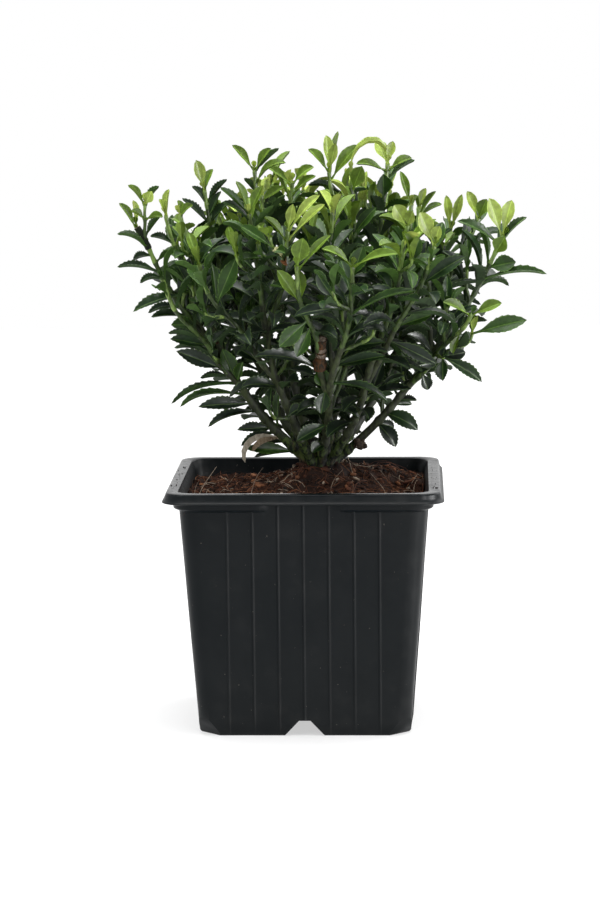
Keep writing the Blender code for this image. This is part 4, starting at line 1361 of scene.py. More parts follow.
class Leaf:
    """Where a leaf is and how it is bent. Lengths are in millimetres until row() makes metres of them."""

    STEPS = 16

    def __init__(self, root, axis, normal, length, width, age, droop, arch, twist):
        self.root, self.axis, self.normal = root, axis, normal
        self.length, self.width, self.age = length, width, age
        self.twist = twist
        self.spine = []
        forward = rise = 0.0
        for step in range(self.STEPS + 2):
            slope = arch * ARCH_START - droop - arch * (step / self.STEPS) ** HOOK
            self.spine.append((forward, rise, slope))
            forward += math.cos(slope) / self.STEPS
            rise += math.sin(slope) / self.STEPS

    def half_width(self, u):
        stalk, stalk_width = STALK
        power = math.log(0.5) / math.log(aged(WIDEST, self.age))
        young, old = BLUNT
        blunt = aged((young[0], old[0]), self.age) * (1 - u) + aged((young[1], old[1]), self.age) * u
        blade = self.width / 2 * math.sin(math.pi * u**power) ** blunt
        return max(blade, stalk_width * (1 - smooth_step(u, stalk, stalk + 0.2)), 0.02)

    def row(self, u, across, tooth=0.0, thickness=0.0, quilt=0.0):
        """Points across the blade at share u of its length, from its left edge to its right."""
        step = min(int(u * self.STEPS), self.STEPS)
        share = u * self.STEPS - step
        forward, rise, angle = (low + (high - low) * share
                                for low, high in zip(self.spine[step], self.spine[step + 1]))
        middle = self.root + (self.axis * forward + self.normal * rise) * self.length * MM
        up = self.normal * math.cos(angle) - self.axis * math.sin(angle)
        along = self.axis * math.cos(angle) + self.normal * math.sin(angle)
        turn = Matrix.Rotation(self.twist * u, 3, along)
        up = turn @ up
        side = along.cross(up)
        width = self.half_width(u) - tooth
        fold = aged(LEAF_FOLD, self.age)
        points = []
        for share in across:
            lift = fold * abs(share) ** 1.35 * width / (self.width / 2) - thickness
            lift += quilt * math.sin(math.pi * min(1, abs(share)))
            points.append(middle + (side * share * width + up * lift) * MM)
        return points

    def proxy(self):
        """A coarse sheet of the blade, to test for touching."""
        rows = [self.row(u, (-1, 0, 1)) for u in (0.25, 0.45, 0.65, 0.85, 1)]
        points = [point for row in rows for point in row]
        firsts = [3 * i + j for i in range(4) for j in range(2)]
        faces = [(first, first + 1, first + 4, first + 3) for first in firsts]
        return points, faces

    def stations(self):
        """Shares of the length, with how far the edge is cut in there and how high the quilting stands."""
        stations = [(0, 0, 0), (0.05, 0, 0), (0.12, 0, 0), (0.2, 0, 0), (0.28, 0, 0)]
        teeth = round(aged(TEETH, self.age))
        first, last = TOOTHED
        for number in range(teeth):
            start = first + (last - first) * number / teeth
            pitch = (last - first) / teeth
            stations += [(start + 0.55 * pitch, -0.5, 1), (start + 0.8 * pitch, 1, -1)]
        return stations

    def rings(self):
        """The whole blade as closed rings, with its teeth, and its tip."""
        rings = []
        for u, bite, quilt in self.stations():
            width = self.half_width(u)
            tooth = TOOTH * smooth_step(self.age, *TOOTHED_AGE) * bite * min(1, width / 1.5)
            rib = min(0.35, RIB_HALF_WIDTH / width)
            ring = self.row(u, (-1, -MARGIN, -0.45, -rib, rib, 0.45, MARGIN, 1), tooth, 0, quilt * QUILT)
            keel = min(LEAF_THICKNESS, width) * (1.5 if u > 0.1 else 2)
            ring += self.row(u, (0,), 0, keel)
            rings.append(ring)
        return rings, self.row(1, (0,))[0]


def draw_leaf(heap, leaf, tints):
    rings, end = leaf.rings()
    heap.rings(rings, tints, end)


def leaf_tints(tone):
    """The finish of each strip of a leaf, from its left margin over the upper face to the underside."""
    face, rib, under = 3 * tone, 3 * tone + 1, 3 * tone + 2
    return [rib, face, face, rib, face, face, rib, under, under]


# %% [markdown]
# Old wounds. The plant has been clipped: a cut stub stands beside the left leader's new shoots, and a
# thicker, browner one with pale rings where its skin has split stands in front. They are short limbs of
# their own, so the leaves keep clear of them. A small snapped one stands low on a left shoot. A gall sits
# low on the right bough: it is a knobbly lump with a rough skin.

# %% Cut stubs and a gall
# Each stub: the mass and the number of the limb that it stands on, its distance along that limb, its
# direction, its length and its radii at the foot and at the cut.
STUBS = {
    "clipped": ("left", 0, 92, (-0.46, -0.1, 0.88), 8, (1.0, 1.1)),
    "pruned": ("front", 1, 15, (0.06, -0.5, 0.9), 11.5, (2.1, 1.75)),
    "snapped": ("left", 2, 10, (-0.5, -0.8, 0.3), 2.6, (0.8, 0.6)),
}
# The gall: its limb and the distance along it, how far off that limb's middle it is, and its radius.
GALL = (("right", 0, 15.5), (0.4, -1.6, -1.2), 2.1)
STUB_TONES = {
    "stub_bark": ((0.010, 0.010, 0.005), (0.090, 0.038, 0.012)),
    "stub_cut": ((0.085, 0.060, 0.040), (0.30, 0.23, 0.18)),
    "gall_skin": ((0.030, 0.020, 0.013), (0.120, 0.080, 0.052)),
    "stub_green": ((0.008, 0.011, 0.006), (0.020, 0.028, 0.013)),
}
STUB_SIDES = 12
STUB_RINGS = 18
STUB_TINTS = {"clipped": 3, "pruned": 0, "snapped": 0}  # numbers of the tones above
CUT_TINT = 1
CUT_WIDTH = 0.86  # of the stub's end
SPLITS = (0.5, 0.68)  # shares of the pruned stub's length where its skin has split
SPLIT_WIDTH = 0.84
KNOBS = 9


def limb_of(name, number):
    leader, sides = plan[name]
    return (leader, *sides)[number]


def plan_stubs():
    rng = random.Random("stubs")
    stubs = {}
    for label, (name, number, distance, direction, length, radii) in STUBS.items():
        start, _ = limb_of(name, number).at(distance * MM)
        along = Vector(direction).normalized()
        stubs[label] = Limb(start, along, start + along * length * MM, along, radii, rng, 0.2)
    return stubs


def stub_finish(name, dark, light):
    """Rough, cracked bark or a dry cut."""
    finish = Finish(name, specular_ior_level=0.15)
    cracks = finish.grain(0.8 * MM, 4, finish.place((1, 1, 0.5)), 0.65)
    tone = finish.mix(finish.step(cracks, 0.35, 0.65), dark, light)
    finish.dress(tone, (0.75, 0.9), cracks, 0.35 * MM, 0.8)
    return finish


def in_split(label, ring, reach):
    """Whether a place on the pruned stub, counted in rings, is within reach of a split in its skin."""
    return label == "pruned" and any(abs(ring - share * STUB_RINGS) < reach for share in SPLITS)


def make_stubs(stubs):
    """The stubs with their flat, pale cuts, and the gall."""
    heap = Heap()
    for label, stub in stubs.items():
        path = []
        radii = []
        for ring in range(STUB_RINGS + 1):
            share = ring / STUB_RINGS
            place = share * stub.length
            rough = 1 + 0.3 * noise.noise(Vector((share * 5, 3 * stub.length / MM, 0)))
            path.append(stub.at(place)[0])
            radii.append(stub.radius(place) * rough * (SPLIT_WIDTH if in_split(label, ring, 0.6) else 1))
        for ring in range(STUB_RINGS):
            tint = CUT_TINT if in_split(label, ring + 0.5, 0.8) else STUB_TINTS[label]
            tube(heap, path[ring:ring + 2], radii[ring:ring + 2], STUB_SIDES, tint)
        top, along = stub.at(stub.length)
        cut = stub.radius(stub.length) * CUT_WIDTH
        tube(heap, [top, top + along * 0.12 * MM], [cut, cut * 0.9], STUB_SIDES, CUT_TINT)
    (name, number, distance), offset, size = GALL
    rng = random.Random("gall")
    middle = limb_of(name, number).at(distance * MM)[0] / MM + Vector(offset)
    for knob in range(KNOBS):
        shift = Vector((rng.uniform(-1, 1), rng.uniform(-1, 1), rng.uniform(-1, 1)))
        shift *= 0.75 * size if knob else 0
        lump(heap, middle + shift, size * (0.42 if knob else 1), 0.9, 2, rng)
    palette = [stub_finish(name, *look) for name, look in STUB_TONES.items()]
    add_piece("cut_stubs_and_gall", heap.mesh("cut_stubs_and_gall", palette, 50), "bark")


stubs = plan_stubs()
make_stubs(stubs)

# %% [markdown]
# The colours of the leaves. New growth is lime and old growth nearly black-green, with only a short stretch
# in between. So each pair of leaves takes one of five plain tones by how far it is from its shoot's tip and
# how long that shoot's flush is. How high the tip stands adds painted shade: a tip low in the crown gives a
# darker tone, green at best. Every tone has three finishes: the glossy face, the paler rib and margin, and
# the dull underside.

# %% The finishes of the leaves
LEAF_TONES = {
    "lime": ((0.360, 0.465, 0.090), 0.44),
    "fresh": ((0.120, 0.204, 0.017), 0.41),
    "green": ((0.028, 0.074, 0.008), 0.38),
    "dark": ((0.0140, 0.0400, 0.0090), 0.37),
    "darkest": ((0.0120, 0.0255, 0.0120), 0.36),
}
TONE_LIMITS = (0.5, 1.25, 1.9, 2.9)  # in flushes below the tip, where each tone gives way to the next
# Painted shade: leaves on shoots whose tips stand low in the crown take darker tones.
PAINTED_SHADE_HEIGHTS = (164 * MM, 152 * MM, 132 * MM)  # tips below each of these start a tone darker


def leaf_finishes(name, color, roughness):
    """The face, rib and underside of one tone."""
    red, green, blue = color
    pale = (red * 1.25 + 0.055, green * 1.25 + 0.085, blue * 1.2 + 0.020)
    dull = (red * 1.05 + 0.018, green * 0.95 + 0.032, blue + 0.008)
    made = []
    for part, tint, rough in (("face", color, roughness), ("rib", pale, roughness), ("under", dull, 0.62)):
        finish = Finish(f"leaf_{name}_{part}", specular_ior_level=0.25 if part != "under" else 0.15)
        clouds = finish.grain(5 * MM, 3)
        quilt = finish.grain(1.3 * MM, 2)
        shade = finish.step(clouds * 0.6 + quilt * 0.4, 0.36, 0.64)
        tone = finish.mix(shade, *shades(tint, 0.72, 1.22))
        finish.dress(tone, (rough - 0.05, rough + 0.08), quilt, 0.1 * MM, 0.6)
        made.append(finish)
    return made


leaf_palette = [finish for name, look in LEAF_TONES.items() for finish in leaf_finishes(name, *look)]
print(len(leaf_palette), "leaf finishes")


def tone_of(from_tip, flush, tip_height):
    """The number of a leaf's tone, by its distance below its shoot's tip and painted shade for a low tip."""
    tone = sum(from_tip > limit * flush for limit in TONE_LIMITS)
    # Painted shade: a tip that stands low in the crown darkens the tone.
    tone += sum(tip_height < height for height in PAINTED_SHADE_HEIGHTS)
    return min(len(LEAF_TONES) - 1, tone)


# %% [markdown]
# Growing the leaves. They stand in crossed pairs, each pair a quarter turn from the one below. Where a leaf
# would run through a neighbour it is tried again a little turned, raised and shorter, and left out if
# nothing fits: that is also why a real crown thins out inside. A mass reaches only a little past half way
# to its neighbours.

# %% Growing the leaves
LOW_HEIGHTS = (92, 132)  # in millimetres: leaves below the first hang most, those above the second not
LOW_ANGLE = 10
LOW_DROOP = 0.08
LOW_SHRINK = 0.1
LOW_WIDEN = 0.12
LEVELLING = 0.75
BUD = (3.6, 1.5, 7)  # the length and width of a bud's scales, and their angle
CLEAR_OF_TWIG = 0.35 * MM
CLEAR_OF_GROUND = 0.3 * MM
SPACE_MARGIN = 8 * MM
SAME_NODE = 2.4 * MM  # a set leaf this near takes a grown leaf's place
TRIES = 9
OUTLINE_TESTS = (4, 7, 10, 13)  # of a proxy's points, those on its rib
SHORTER_EACH_TRY = 0.045
CELL = 12 * MM


def ground_height(place):
    x, y = place.x / MM, place.y / MM
    inside = max(abs(x), abs(y)) < MOUTH_WIDTH / 2
    return (soil_height(x, y) if inside else POT_HEIGHT) * MM


class Crown:
    """What already grows, so that each new leaf can be kept clear of it."""

    def __init__(self, plan, sprouts):
        self.limbs = {name: (leader, *sides, *sprouts[name]) for name, (leader, sides) in plan.items()}
        rows = [(name, limb) for name, limbs in self.limbs.items() for limb in limbs]
        rows += [(STUBS[label][0], stub) for label, stub in stubs.items()]
        self.samples = [(point, name, limb, limb.radius(along)) for name, limb in rows
                        for point, along in zip(limb.points, limb.along)]
        self.every = tree_from([sample[0] for sample in self.samples])
        self.own = {name: tree_from([sample[0] for sample in self.samples if sample[1] == name])
                    for name in self.limbs}
        self.cells = {}

    def in_space(self, name, own_limb, points):
        """Whether points are above ground, in the mass's own space and off other twigs."""
        for point in points:
            if point.z < ground_height(point) + CLEAR_OF_GROUND:
                return False
            _, index, distance = self.every.find(point)
            _, owner, limb, radius = self.samples[index]
            if limb is not own_limb and distance < radius + CLEAR_OF_TWIG:
                return False
            if owner != name and self.own[name].find(point)[2] > distance + SPACE_MARGIN:
                return False
        return True

    def keys(self, points):
        return {tuple(int(c // CELL) for c in point) for point in points}

    def touches(self, points, tree):
        seen = set()
        for key in self.keys(points):
            for other in self.cells.get(key, ()):
                if id(other) not in seen and other.overlap(tree):
                    return True
                seen.add(id(other))
        return False

    def add(self, points, tree):
        for key in self.keys(points):
            self.cells.setdefault(key, []).append(tree)


tally = {"wanted": 0, "grown": 0}


def leaf_axes(tangent, away, angle):
    """The axis and normal of a leaf that leaves its twig towards away, at an angle in degrees."""
    lift = math.radians(angle)
    axis = tangent * math.cos(lift) + away * math.sin(lift)
    return axis, tangent * math.sin(lift) - away * math.cos(lift)


def levelled(axis, normal, share):
    """The axis and normal of a leaf, turned by a share towards lying level with its face up."""
    axis = (axis - Vector((0, 0, axis.z * share))).normalized()
    normal = normal.lerp(Vector((0, 0, 1)), share)
    return axis, off(normal, axis)


def add_bud(limb, side, flush, heap):
    """The two smallest leaves at the tip of a shoot."""
    tip, tangent = limb.at(limb.top)
    length, width, angle = BUD
    for facing in (1, -1):
        away = off(side, tangent) * facing
        axis, normal = leaf_axes(tangent, away, angle)
        scale = Leaf(tip, axis, normal, length, width, 0, 0, 0.1, 0)
        draw_leaf(heap, scale, leaf_tints(tone_of(0, flush, tip.z)))


def fitting_leaf(crown, name, limb, distance, facing, age, low, rng):
    """One leaf of a pair, turned, raised and shortened until it fits, or None. low is how much it hangs."""
    point, tangent = limb.at(distance)
    length = aged(LEAF_LENGTH, age) * rng.uniform(0.74, 1.1) * (1 - low * LOW_SHRINK)
    angle = aged(LEAF_ANGLE, age) + low * LOW_ANGLE + rng.uniform(-8, 8)
    width = aged(LEAF_WIDTH, age) * rng.uniform(0.85, 1.08) * (1 + low * LOW_WIDEN)
    arch = aged(LEAF_ARCH, age) * rng.uniform(0.3, 1.7)
    droop = aged(LEAF_DROOP, age) * rng.uniform(0.5, 1.4) + low * LOW_DROOP
    twist = rng.uniform(-0.3, 0.3)
    for attempt in range(TRIES):
        raised = angle + attempt * rng.uniform(-7, 7)
        away = Matrix.Rotation(math.radians(attempt * rng.uniform(-9, 9)), 3, tangent) @ facing
        axis, normal = levelled(*leaf_axes(tangent, away, raised), low * LEVELLING)
        root = point + away * limb.radius(distance) * 0.4
        short = length * (1 - SHORTER_EACH_TRY * attempt)
        leaf = Leaf(root, axis, normal, short, width, age, droop, arch, twist)
        points, faces = leaf.proxy()
        if not all(in_outline(points[i]) for i in OUTLINE_TESTS):
            continue
        if any(map(in_the_way, points)) or not crown.in_space(name, limb, points):
            continue
        tree = BVHTree.FromPolygons(points, faces)
        if not crown.touches(points, tree):
            crown.add(points, tree)
            return leaf
    return None


def grow_leaves(crown, name, limb, first, flush, heap, rng):
    """Leaves up one shoot, which is cut back to its last ones. Gives the places of its knots."""
    side = Matrix.Rotation(rng.uniform(0, math.tau), 3, "Z") @ outward(limb.points[-1])
    bud_side = side
    knots = []
    leafy = [taken for taken, _ in limb.taken]
    tip = limb.at(limb.top)[0]
    for distance, age in leaf_nodes(limb, first):
        point, tangent = limb.at(distance)
        side = off(side, tangent)
        side = Matrix.Rotation(math.radians(90 + rng.uniform(-9, 9)), 3, tangent) @ side
        knots.append(distance)
        tone = tone_of(limb.top - distance, flush, tip.z)
        low = age * (1 - smooth_step(point.z / MM, *LOW_HEIGHTS))
        facings = (side, -side)
        beside = [away for taken, away in limb.taken if abs(taken - distance) < SAME_NODE]
        if beside:
            side = -off(beside[0], tangent)
            facings = (side,) if len(beside) == 1 else ()
        for facing in facings:
            tally["wanted"] += 1
            leaf = fitting_leaf(crown, name, limb, distance, facing, age, low, rng)
            if leaf:
                draw_leaf(heap, leaf, leaf_tints(tone))
                tally["grown"] += 1
                leafy.append(distance)
    if limb not in seen.get(name, ()):
        if not leafy:
            return []
        limb.top = min(limb.top, max(leafy) + TIP_CLEAR)
    add_bud(limb, bud_side, flush, heap)
    return [knot for knot in knots if knot < limb.top]


# %% [markdown]
# Leaves set one by one. What makes the photographed plant recognisable is its outline: well over a hundred
# leaves stand clear against the white or lie in full view. Each of these is named here by two pixels, where
# it springs from its stem and where it ends. The stem is the nearest limb of that mass, so the leaf always
# sits on wood, and its end lies about as deep as its root. The other leaves then grow round them, and a
# shoot ends where its last set pair is.

# %% The leaves set one by one
# For each mass: the pixel of the root and of the end, the width in millimetres, how far the face is turned
# to the viewer in degrees, how many millimetres nearer the end is, the arch in radians and the tone.
SET_LEAVES = {
    "left": (
        ((136, 229), (119, 203), 2.8, 45, 1, 0.3, 1),
        ((136, 229), (133, 200), 2.4, 35, -2, 0.2, 0),
        ((145, 206), (128, 185), 2.2, 25, 0, 0.6, 1),
        ((145, 206), (159, 186), 2.6, 30, 0, 0.5, 2),
        ((145, 206), (152, 191), 3.8, 80, 3, 0.4, 0),
        ((145, 220), (131, 211), 2.4, 35, 2, 0.9, 1),
        ((145, 220), (163, 217), 2.6, 35, 2, 0.9, 1),
        ((148, 236), (160, 216), 2.2, 40, 0, 0.2, 2),
        ((165, 220), (159, 199), 2.4, 50, 0, 0.3, 0),
        ((165, 220), (169, 189), 2.6, 40, 0, 0.3, 0),
        ((177, 220), (178, 200), 2.4, 40, 0, 0.3, 1),
        ((177, 220), (193, 205), 2.8, 45, 2, 1.0, 1),
        ((150, 248), (117, 234), 2.4, 20, 3, 1.0, 2),
        ((168, 246), (150, 236), 2.6, 40, 2, 0.6, 3),
        ((153, 254), (133, 260), 2.8, 40, 0, 0.7, 3),
        ((162, 273), (117, 267), 3.2, 25, 3, 0.7, 3),
        ((166, 278), (140, 283), 2.6, 30, 3, 1.0, 3),
        ((182, 294), (133, 312), 4.4, 50, 5, 0.8, 3),
        ((184, 308), (148, 313), 3.2, 30, 2, 0.8, 4),
        ((190, 318), (151, 317), 4.0, 40, 3, 0.5, 3),
        ((200, 326), (171, 325), 5.4, 70, 5, 0.4, 2),
        ((203, 338), (168, 333), 2.6, 12, 0, 0.5, 4),
        ((206, 348), (170, 339), 5.0, 55, 3, 0.3, 3),
        ((210, 356), (174, 348), 2.2, 12, -3, 0.8, 4),
        ((217, 375), (176, 351), 5.6, 70, 3, 0.1, 4),
        ((222, 384), (200, 378), 2.2, 20, 0, 0.4, 4),
        ((228, 392), (171, 404), 2.8, 15, 2, 0.9, 3),
        ((236, 404), (180, 407), 3.2, 35, -3, 1.2, 2),
        ((242, 410), (198, 407), 5.0, 60, 4, 0.5, 4),
        ((252, 418), (208, 427), 3.8, 40, 0, 0.9, 4),
        ((264, 432), (237, 430), 3.8, 60, 2, 0.3, 4),
        ((272, 440), (241, 446), 2.8, 30, 0, 0.8, 3),
        ((286, 458), (246, 449), 4.6, 60, 3, 0.2, 2),
        ((230, 388), (222, 349), 5.6, 80, 2, 0.2, 2),
        ((232, 388), (243, 362), 3.8, 60, 4, 0.2, 2),
        ((270, 437), (283, 382), 2.8, 50, 2, 0.6, 2),
        ((288, 460), (254, 457), 3.0, 45, -2, 0.3, 4),
    ),
    "left_back": (
        ((204, 194), (196, 160), 4.0, 75, 2, 0.2, 0),
        ((204, 194), (213, 169), 3.2, 50, 0, 0.2, 1),
        ((206, 207), (192, 186), 2.6, 35, 0, 0.5, 3),
        ((206, 207), (227, 179), 2.8, 30, 0, 0.3, 3),
        ((207, 216), (221, 191), 3.2, 50, 2, 0.2, 3),
        ((206, 225), (182, 198), 3.0, 35, 0, 0.1, 3),
        ((206, 225), (229, 203), 4.0, 35, 2, 0.5, 3),
    ),
    "middle_left": (
        ((256, 168), (232, 145), 3.4, 50, 0, 0.2, 1),
        ((256, 168), (271, 148), 3.2, 45, 2, 0.3, 1),
        ((256, 171), (279, 148), 2.0, 12, -2, 0.2, 2),
        ((256, 184), (286, 163), 3.0, 35, 2, 1.6, 1),
        ((253, 190), (244, 178), 1.4, 20, 0, 0.1, 3),
        ((259, 203), (284, 187), 3.4, 45, 2, 0.3, 1),
        ((288, 184), (267, 167), 3.2, 50, 0, 0.3, 1),
        ((288, 184), (314, 167), 3.8, 45, 0, 0.9, 1),
        ((264, 182), (290, 151), 3.0, 35, -2, 0.5, 1),
        ((290, 196), (316, 176), 3.0, 40, 2, 0.7, 1),
    ),
    "middle_right": (
        ((331, 170), (326, 135), 3.8, 70, 0, 0.2, 0),
        ((331, 170), (338, 131), 1.6, 10, -2, 0.0, 1),
        ((333, 174), (336, 143), 3.4, 75, 4, 0.2, 0),
        ((331, 166), (308, 149), 3.8, 45, 0, 0.4, 1),
        ((335, 182), (359, 145), 4.6, 55, 0, 0.6, 1),
        ((337, 192), (308, 185), 3.0, 30, 2, 0.9, 4),
        ((352, 172), (386, 152), 2.8, 25, 0, 3.2, 0),
        ((352, 192), (362, 166), 5.2, 80, 4, 0.1, 1),
        ((388, 166), (393, 141), 3.2, 80, 0, 0.1, 0),
        ((388, 166), (376, 141), 4.6, 70, 0, 0.3, 0),
        ((388, 174), (356, 164), 3.2, 40, 2, 0.9, 1),
        ((388, 174), (412, 158), 3.4, 40, 0, 0.7, 1),
        ((388, 180), (415, 160), 2.8, 30, -2, 0.4, 2),
        ((388, 196), (383, 174), 5.6, 80, 4, 0.1, 2),
    ),
    "right": (
        ((403, 206), (400, 171), 2.8, 70, 0, 0.1, 1),
        ((409, 206), (417, 195), 2.0, 30, 0, 0.5, 1),
        ((502, 237), (489, 198), 5.0, 75, 2, 0.2, 0),
        ((502, 237), (512, 200), 4.6, 70, 0, 0.3, 0),
        ((500, 242), (527, 217), 3.2, 35, 0, 0.5, 2),
        ((498, 247), (457, 221), 4.2, 45, 2, 0.7, 2),
        ((493, 259), (505, 237), 5.4, 75, 3, 0.1, 1),
        ((490, 269), (516, 262), 5.8, 70, 3, 0.4, 2),
        ((487, 284), (547, 274), 3.2, 25, 4, 0.7, 2),
        ((485, 290), (509, 286), 1.8, 15, -2, 1.4, 3),
        ((476, 318), (502, 303), 4.2, 50, 2, 0.4, 1),
        ((464, 334), (453, 354), 3.0, 60, 2, 0.2, 1),
        ((472, 335), (469, 312), 2.8, 50, 2, 0.2, 1),
        ((472, 335), (478, 316), 2.2, 60, 3, 0.2, 0),
        ((446, 366), (445, 347), 3.0, 70, 2, 0.1, 4),
        ((476, 318), (443, 302), 4.0, 45, 3, 0.7, 1),
        ((470, 334), (527, 320), 5.6, 65, 3, 0.4, 2),
        ((452, 369), (482, 382), 4.4, 60, 2, 0.7, 3),
        ((448, 367), (443, 381), 4.8, 70, 3, 0.2, 3),
        ((424, 374), (428, 390), 4.2, 70, 0, 0.3, 4),
        ((402, 402), (417, 400), 2.2, 30, 0, 0.2, 4),
        ((396, 408), (412, 404), 3.0, 50, -2, 0.3, 3),
        ((384, 412), (418, 430), 5.6, 60, 2, 1.1, 3),
        ((374, 424), (396, 447), 5.4, 60, 3, 0.8, 4),
        ((374, 424), (394, 428), 3.0, 50, -3, 0.6, 4),
    ),
    "right_back": (
        ((454, 232), (446, 195), 3.0, 80, 0, 0.1, 0),
        ((458, 232), (462, 194), 3.0, 80, 3, 0.1, 0),
        ((481, 222), (467, 191), 3.6, 70, 0, 0.2, 0),
        ((481, 222), (487, 199), 4.4, 65, 2, 0.3, 1),
        ((422, 210), (426, 188), 2.8, 60, 0, 0.1, 0),
        ((422, 210), (415, 195), 1.8, 30, 0, 0.2, 1),
        ((429, 220), (436, 191), 2.4, 50, 2, 0.2, 1),
        ((429, 220), (442, 204), 2.2, 40, 0, 0.5, 1),
    ),
    "front_left": (
        ((251, 212), (236, 181), 2.8, 40, 2, 0.2, 1),
        ((251, 212), (262, 186), 3.4, 60, 4, 0.2, 1),
        ((250, 222), (222, 202), 3.4, 30, 2, 0.8, 3),
        ((250, 210), (220, 187), 2.6, 35, 0, 0.2, 2),
        ((292, 232), (293, 204), 3.2, 80, 3, 0.1, 0),
        ((292, 232), (320, 195), 3.4, 50, 2, 0.6, 0),
        ((293, 244), (325, 204), 3.2, 50, 0, 0.4, 0),
        ((293, 244), (264, 217), 2.8, 35, 2, 0.5, 1),
        ((228, 294), (236, 258), 5.8, 85, 3, 0.1, 2),
        ((228, 294), (211, 262), 3.2, 60, 2, 0.3, 2),
        ((292, 384), (241, 388), 5.0, 50, 3, 1.4, 4),
    ),
    "front_right": (
        ((407, 229), (394, 205), 5.4, 75, 2, 0.1, 0),
        ((407, 229), (413, 211), 4.2, 65, 3, 0.2, 0),
        ((431, 247), (420, 212), 5.2, 75, 2, 0.1, 0),
        ((431, 247), (440, 226), 4.0, 60, 2, 0.3, 0),
        ((424, 286), (466, 256), 5.4, 60, 2, 0.4, 3),
        ((408, 246), (391, 226), 2.6, 40, 0, 0.3, 2),
        ((412, 334), (432, 315), 4.0, 60, 2, 0.2, 2),
        ((384, 402), (383, 362), 4.6, 80, 2, 0.1, 4),
        ((410, 350), (437, 364), 5.0, 70, 2, 0.3, 4),
    ),
    "front": (
        ((355, 270), (322, 249), 3.4, 40, 3, 1.0, 1),
        ((355, 270), (398, 254), 3.6, 40, 3, 0.9, 1),
        ((356, 278), (363, 246), 5.6, 80, 2, 0.1, 2),
        ((296, 306), (277, 270), 4.6, 70, 3, 0.2, 1),
        ((296, 306), (299, 270), 3.6, 75, -2, 0.2, 1),
        ((302, 268), (303, 238), 6.0, 85, 3, 0.1, 1),
        ((306, 270), (331, 235), 3.0, 50, 0, 0.3, 1),
        ((302, 322), (279, 347), 5.8, 85, 3, 0.1, 2),
        ((306, 330), (297, 357), 5.2, 80, 6, 0.1, 2),
        ((312, 372), (253, 357), 5.0, 45, 3, 1.1, 4),
        ((321, 392), (318, 368), 5.6, 80, 3, 0.1, 2),
        ((323, 390), (321, 414), 5.4, 80, 3, 0.2, 3),
        ((359, 314), (417, 291), 3.2, 30, 7, 0.7, 2),
        ((334, 352), (385, 342), 5.0, 55, 3, 0.3, 3),
        ((333, 366), (386, 356), 4.6, 50, 5, 0.3, 3),
        ((330, 384), (388, 402), 3.4, 35, 3, 1.0, 3),
        ((331, 424), (297, 441), 5.4, 60, 3, 0.4, 3),
        ((336, 444), (312, 453), 4.4, 60, 3, 0.4, 3),
    ),
}
TONE_AGES = (0.1, 0.35, 0.7, 1, 1)
TOP_REACH = 10 * MM  # a shoot is cut back to its highest set leaf if that is this near its tip
DEPTH_SHIFTS = (0, 1.5, -1.5, 3, -3, 4.5, -4.5, 6, -6)
AIMING_STEPS = 3


def turned_normal(axis, turned):
    """The direction of a leaf's face: edge-on to the viewer at 0 degrees, and seen in full at 90."""
    viewer = Vector((0, -1, 0))
    edge_on = axis.cross(viewer).normalized()
    if edge_on.z < 0:
        edge_on = -edge_on
    full = off(viewer, axis)
    turned = math.radians(turned)
    return edge_on * math.cos(turned) + full * math.sin(turned)


def leaf_between(root, end, width, turned, arch, age):
    """A leaf from a root to a given point. It is aimed a few times, until its tip is there."""
    chord = end - root
    axis = chord.normalized()
    normal = turned_normal(axis, turned)
    length = chord.length / MM
    for _ in range(AIMING_STEPS):
        tip = Leaf(root, axis, normal, length, width, age, 0, arch, 0.1).rings()[1] - root
        turn = tip.rotation_difference(chord)
        axis = turn @ axis
        normal = turn @ normal
        length *= chord.length / tip.length
    return Leaf(root, axis, normal, length, width, age, 0, arch, 0.1)


def place_leaves(crown, name, rows):
    """The set leaves of a mass, each with its tone. Its depth is shifted a little where it would touch."""
    made = []
    for root_pixel, end_pixel, width, turned, nearer, arch, tone in rows:
        limb, distance = nearest_on(crown.limbs[name], root_pixel)
        root, tangent = limb.at(distance)
        for shift in DEPTH_SHIFTS:
            end = point_at(end_pixel, root.y - (nearer + shift) * MM)
            leaf = leaf_between(root, end, width, turned, arch, TONE_AGES[tone])
            points, faces = leaf.proxy()
            tree = BVHTree.FromPolygons(points, faces)
            if crown.in_space(name, limb, points) and not crown.touches(points, tree):
                break
        else:
            print("no clear place for the leaf at", root_pixel, end_pixel)
        crown.add(points, tree)
        limb.taken.append((distance, off(end - root, tangent)))
        if limb.length - distance < TOP_REACH:
            limb.top = max(distance + TIP_CLEAR for distance, _ in limb.taken)
        made.append((leaf, tone))
    return made


# %% [markdown]
# Leaves and twigs are joined in four groups, each kind apart, so that no piece grows past two hundred
# thousand triangles. Twigs take one of three plain finishes by their age: woody, green or the pale green of
# the flush.

# %% The crown
GROUPS = {
    "left": ("left", "left_back", "front_left"),
    "right": ("right", "right_back", "front_right"),
    "back": ("back_left", "back", "back_right"),
    "middle": ("front", "middle_left", "middle_right"),
}
FLUSH = (6 * MM, 12 * MM)
SPROUT_FLUSH = 0.6  # painted shade: sprouts sit inside the crown, so a short flush makes their tones darker
GREEN_STRETCH = 24 * MM
TWIG_STEP = 1.1 * MM
TWIG_SIDES = 8
TWIG_TINTS = {
    "twig_woody": ((0.032, 0.043, 0.014), 0.7),
    "twig_green": ((0.050, 0.086, 0.017), 0.5),
    "twig_pale": ((0.165, 0.250, 0.055), 0.42),
}


def twig_finish(name, color, rough):
    finish = Finish(name, specular_ior_level=0.3)
    streaks = finish.grain(1.2 * MM, 3, finish.place((1, 1, 0.3)))
    tone = finish.mix(finish.step(streaks, 0.36, 0.64), *shades(color, 0.55, 1.5))
    finish.dress(tone, (rough - 0.08, rough + 0.08), streaks, 0.1 * MM, 0.6)
    return finish


def twig_tint(limb, flush):
    """Which twig finish a place on a limb has, by its distance from the tip."""
    def tint(distance):
        from_tip = limb.top - distance
        if from_tip < flush:
            return 2
        return 1 if from_tip < flush + GREEN_STRETCH else 0
    return tint


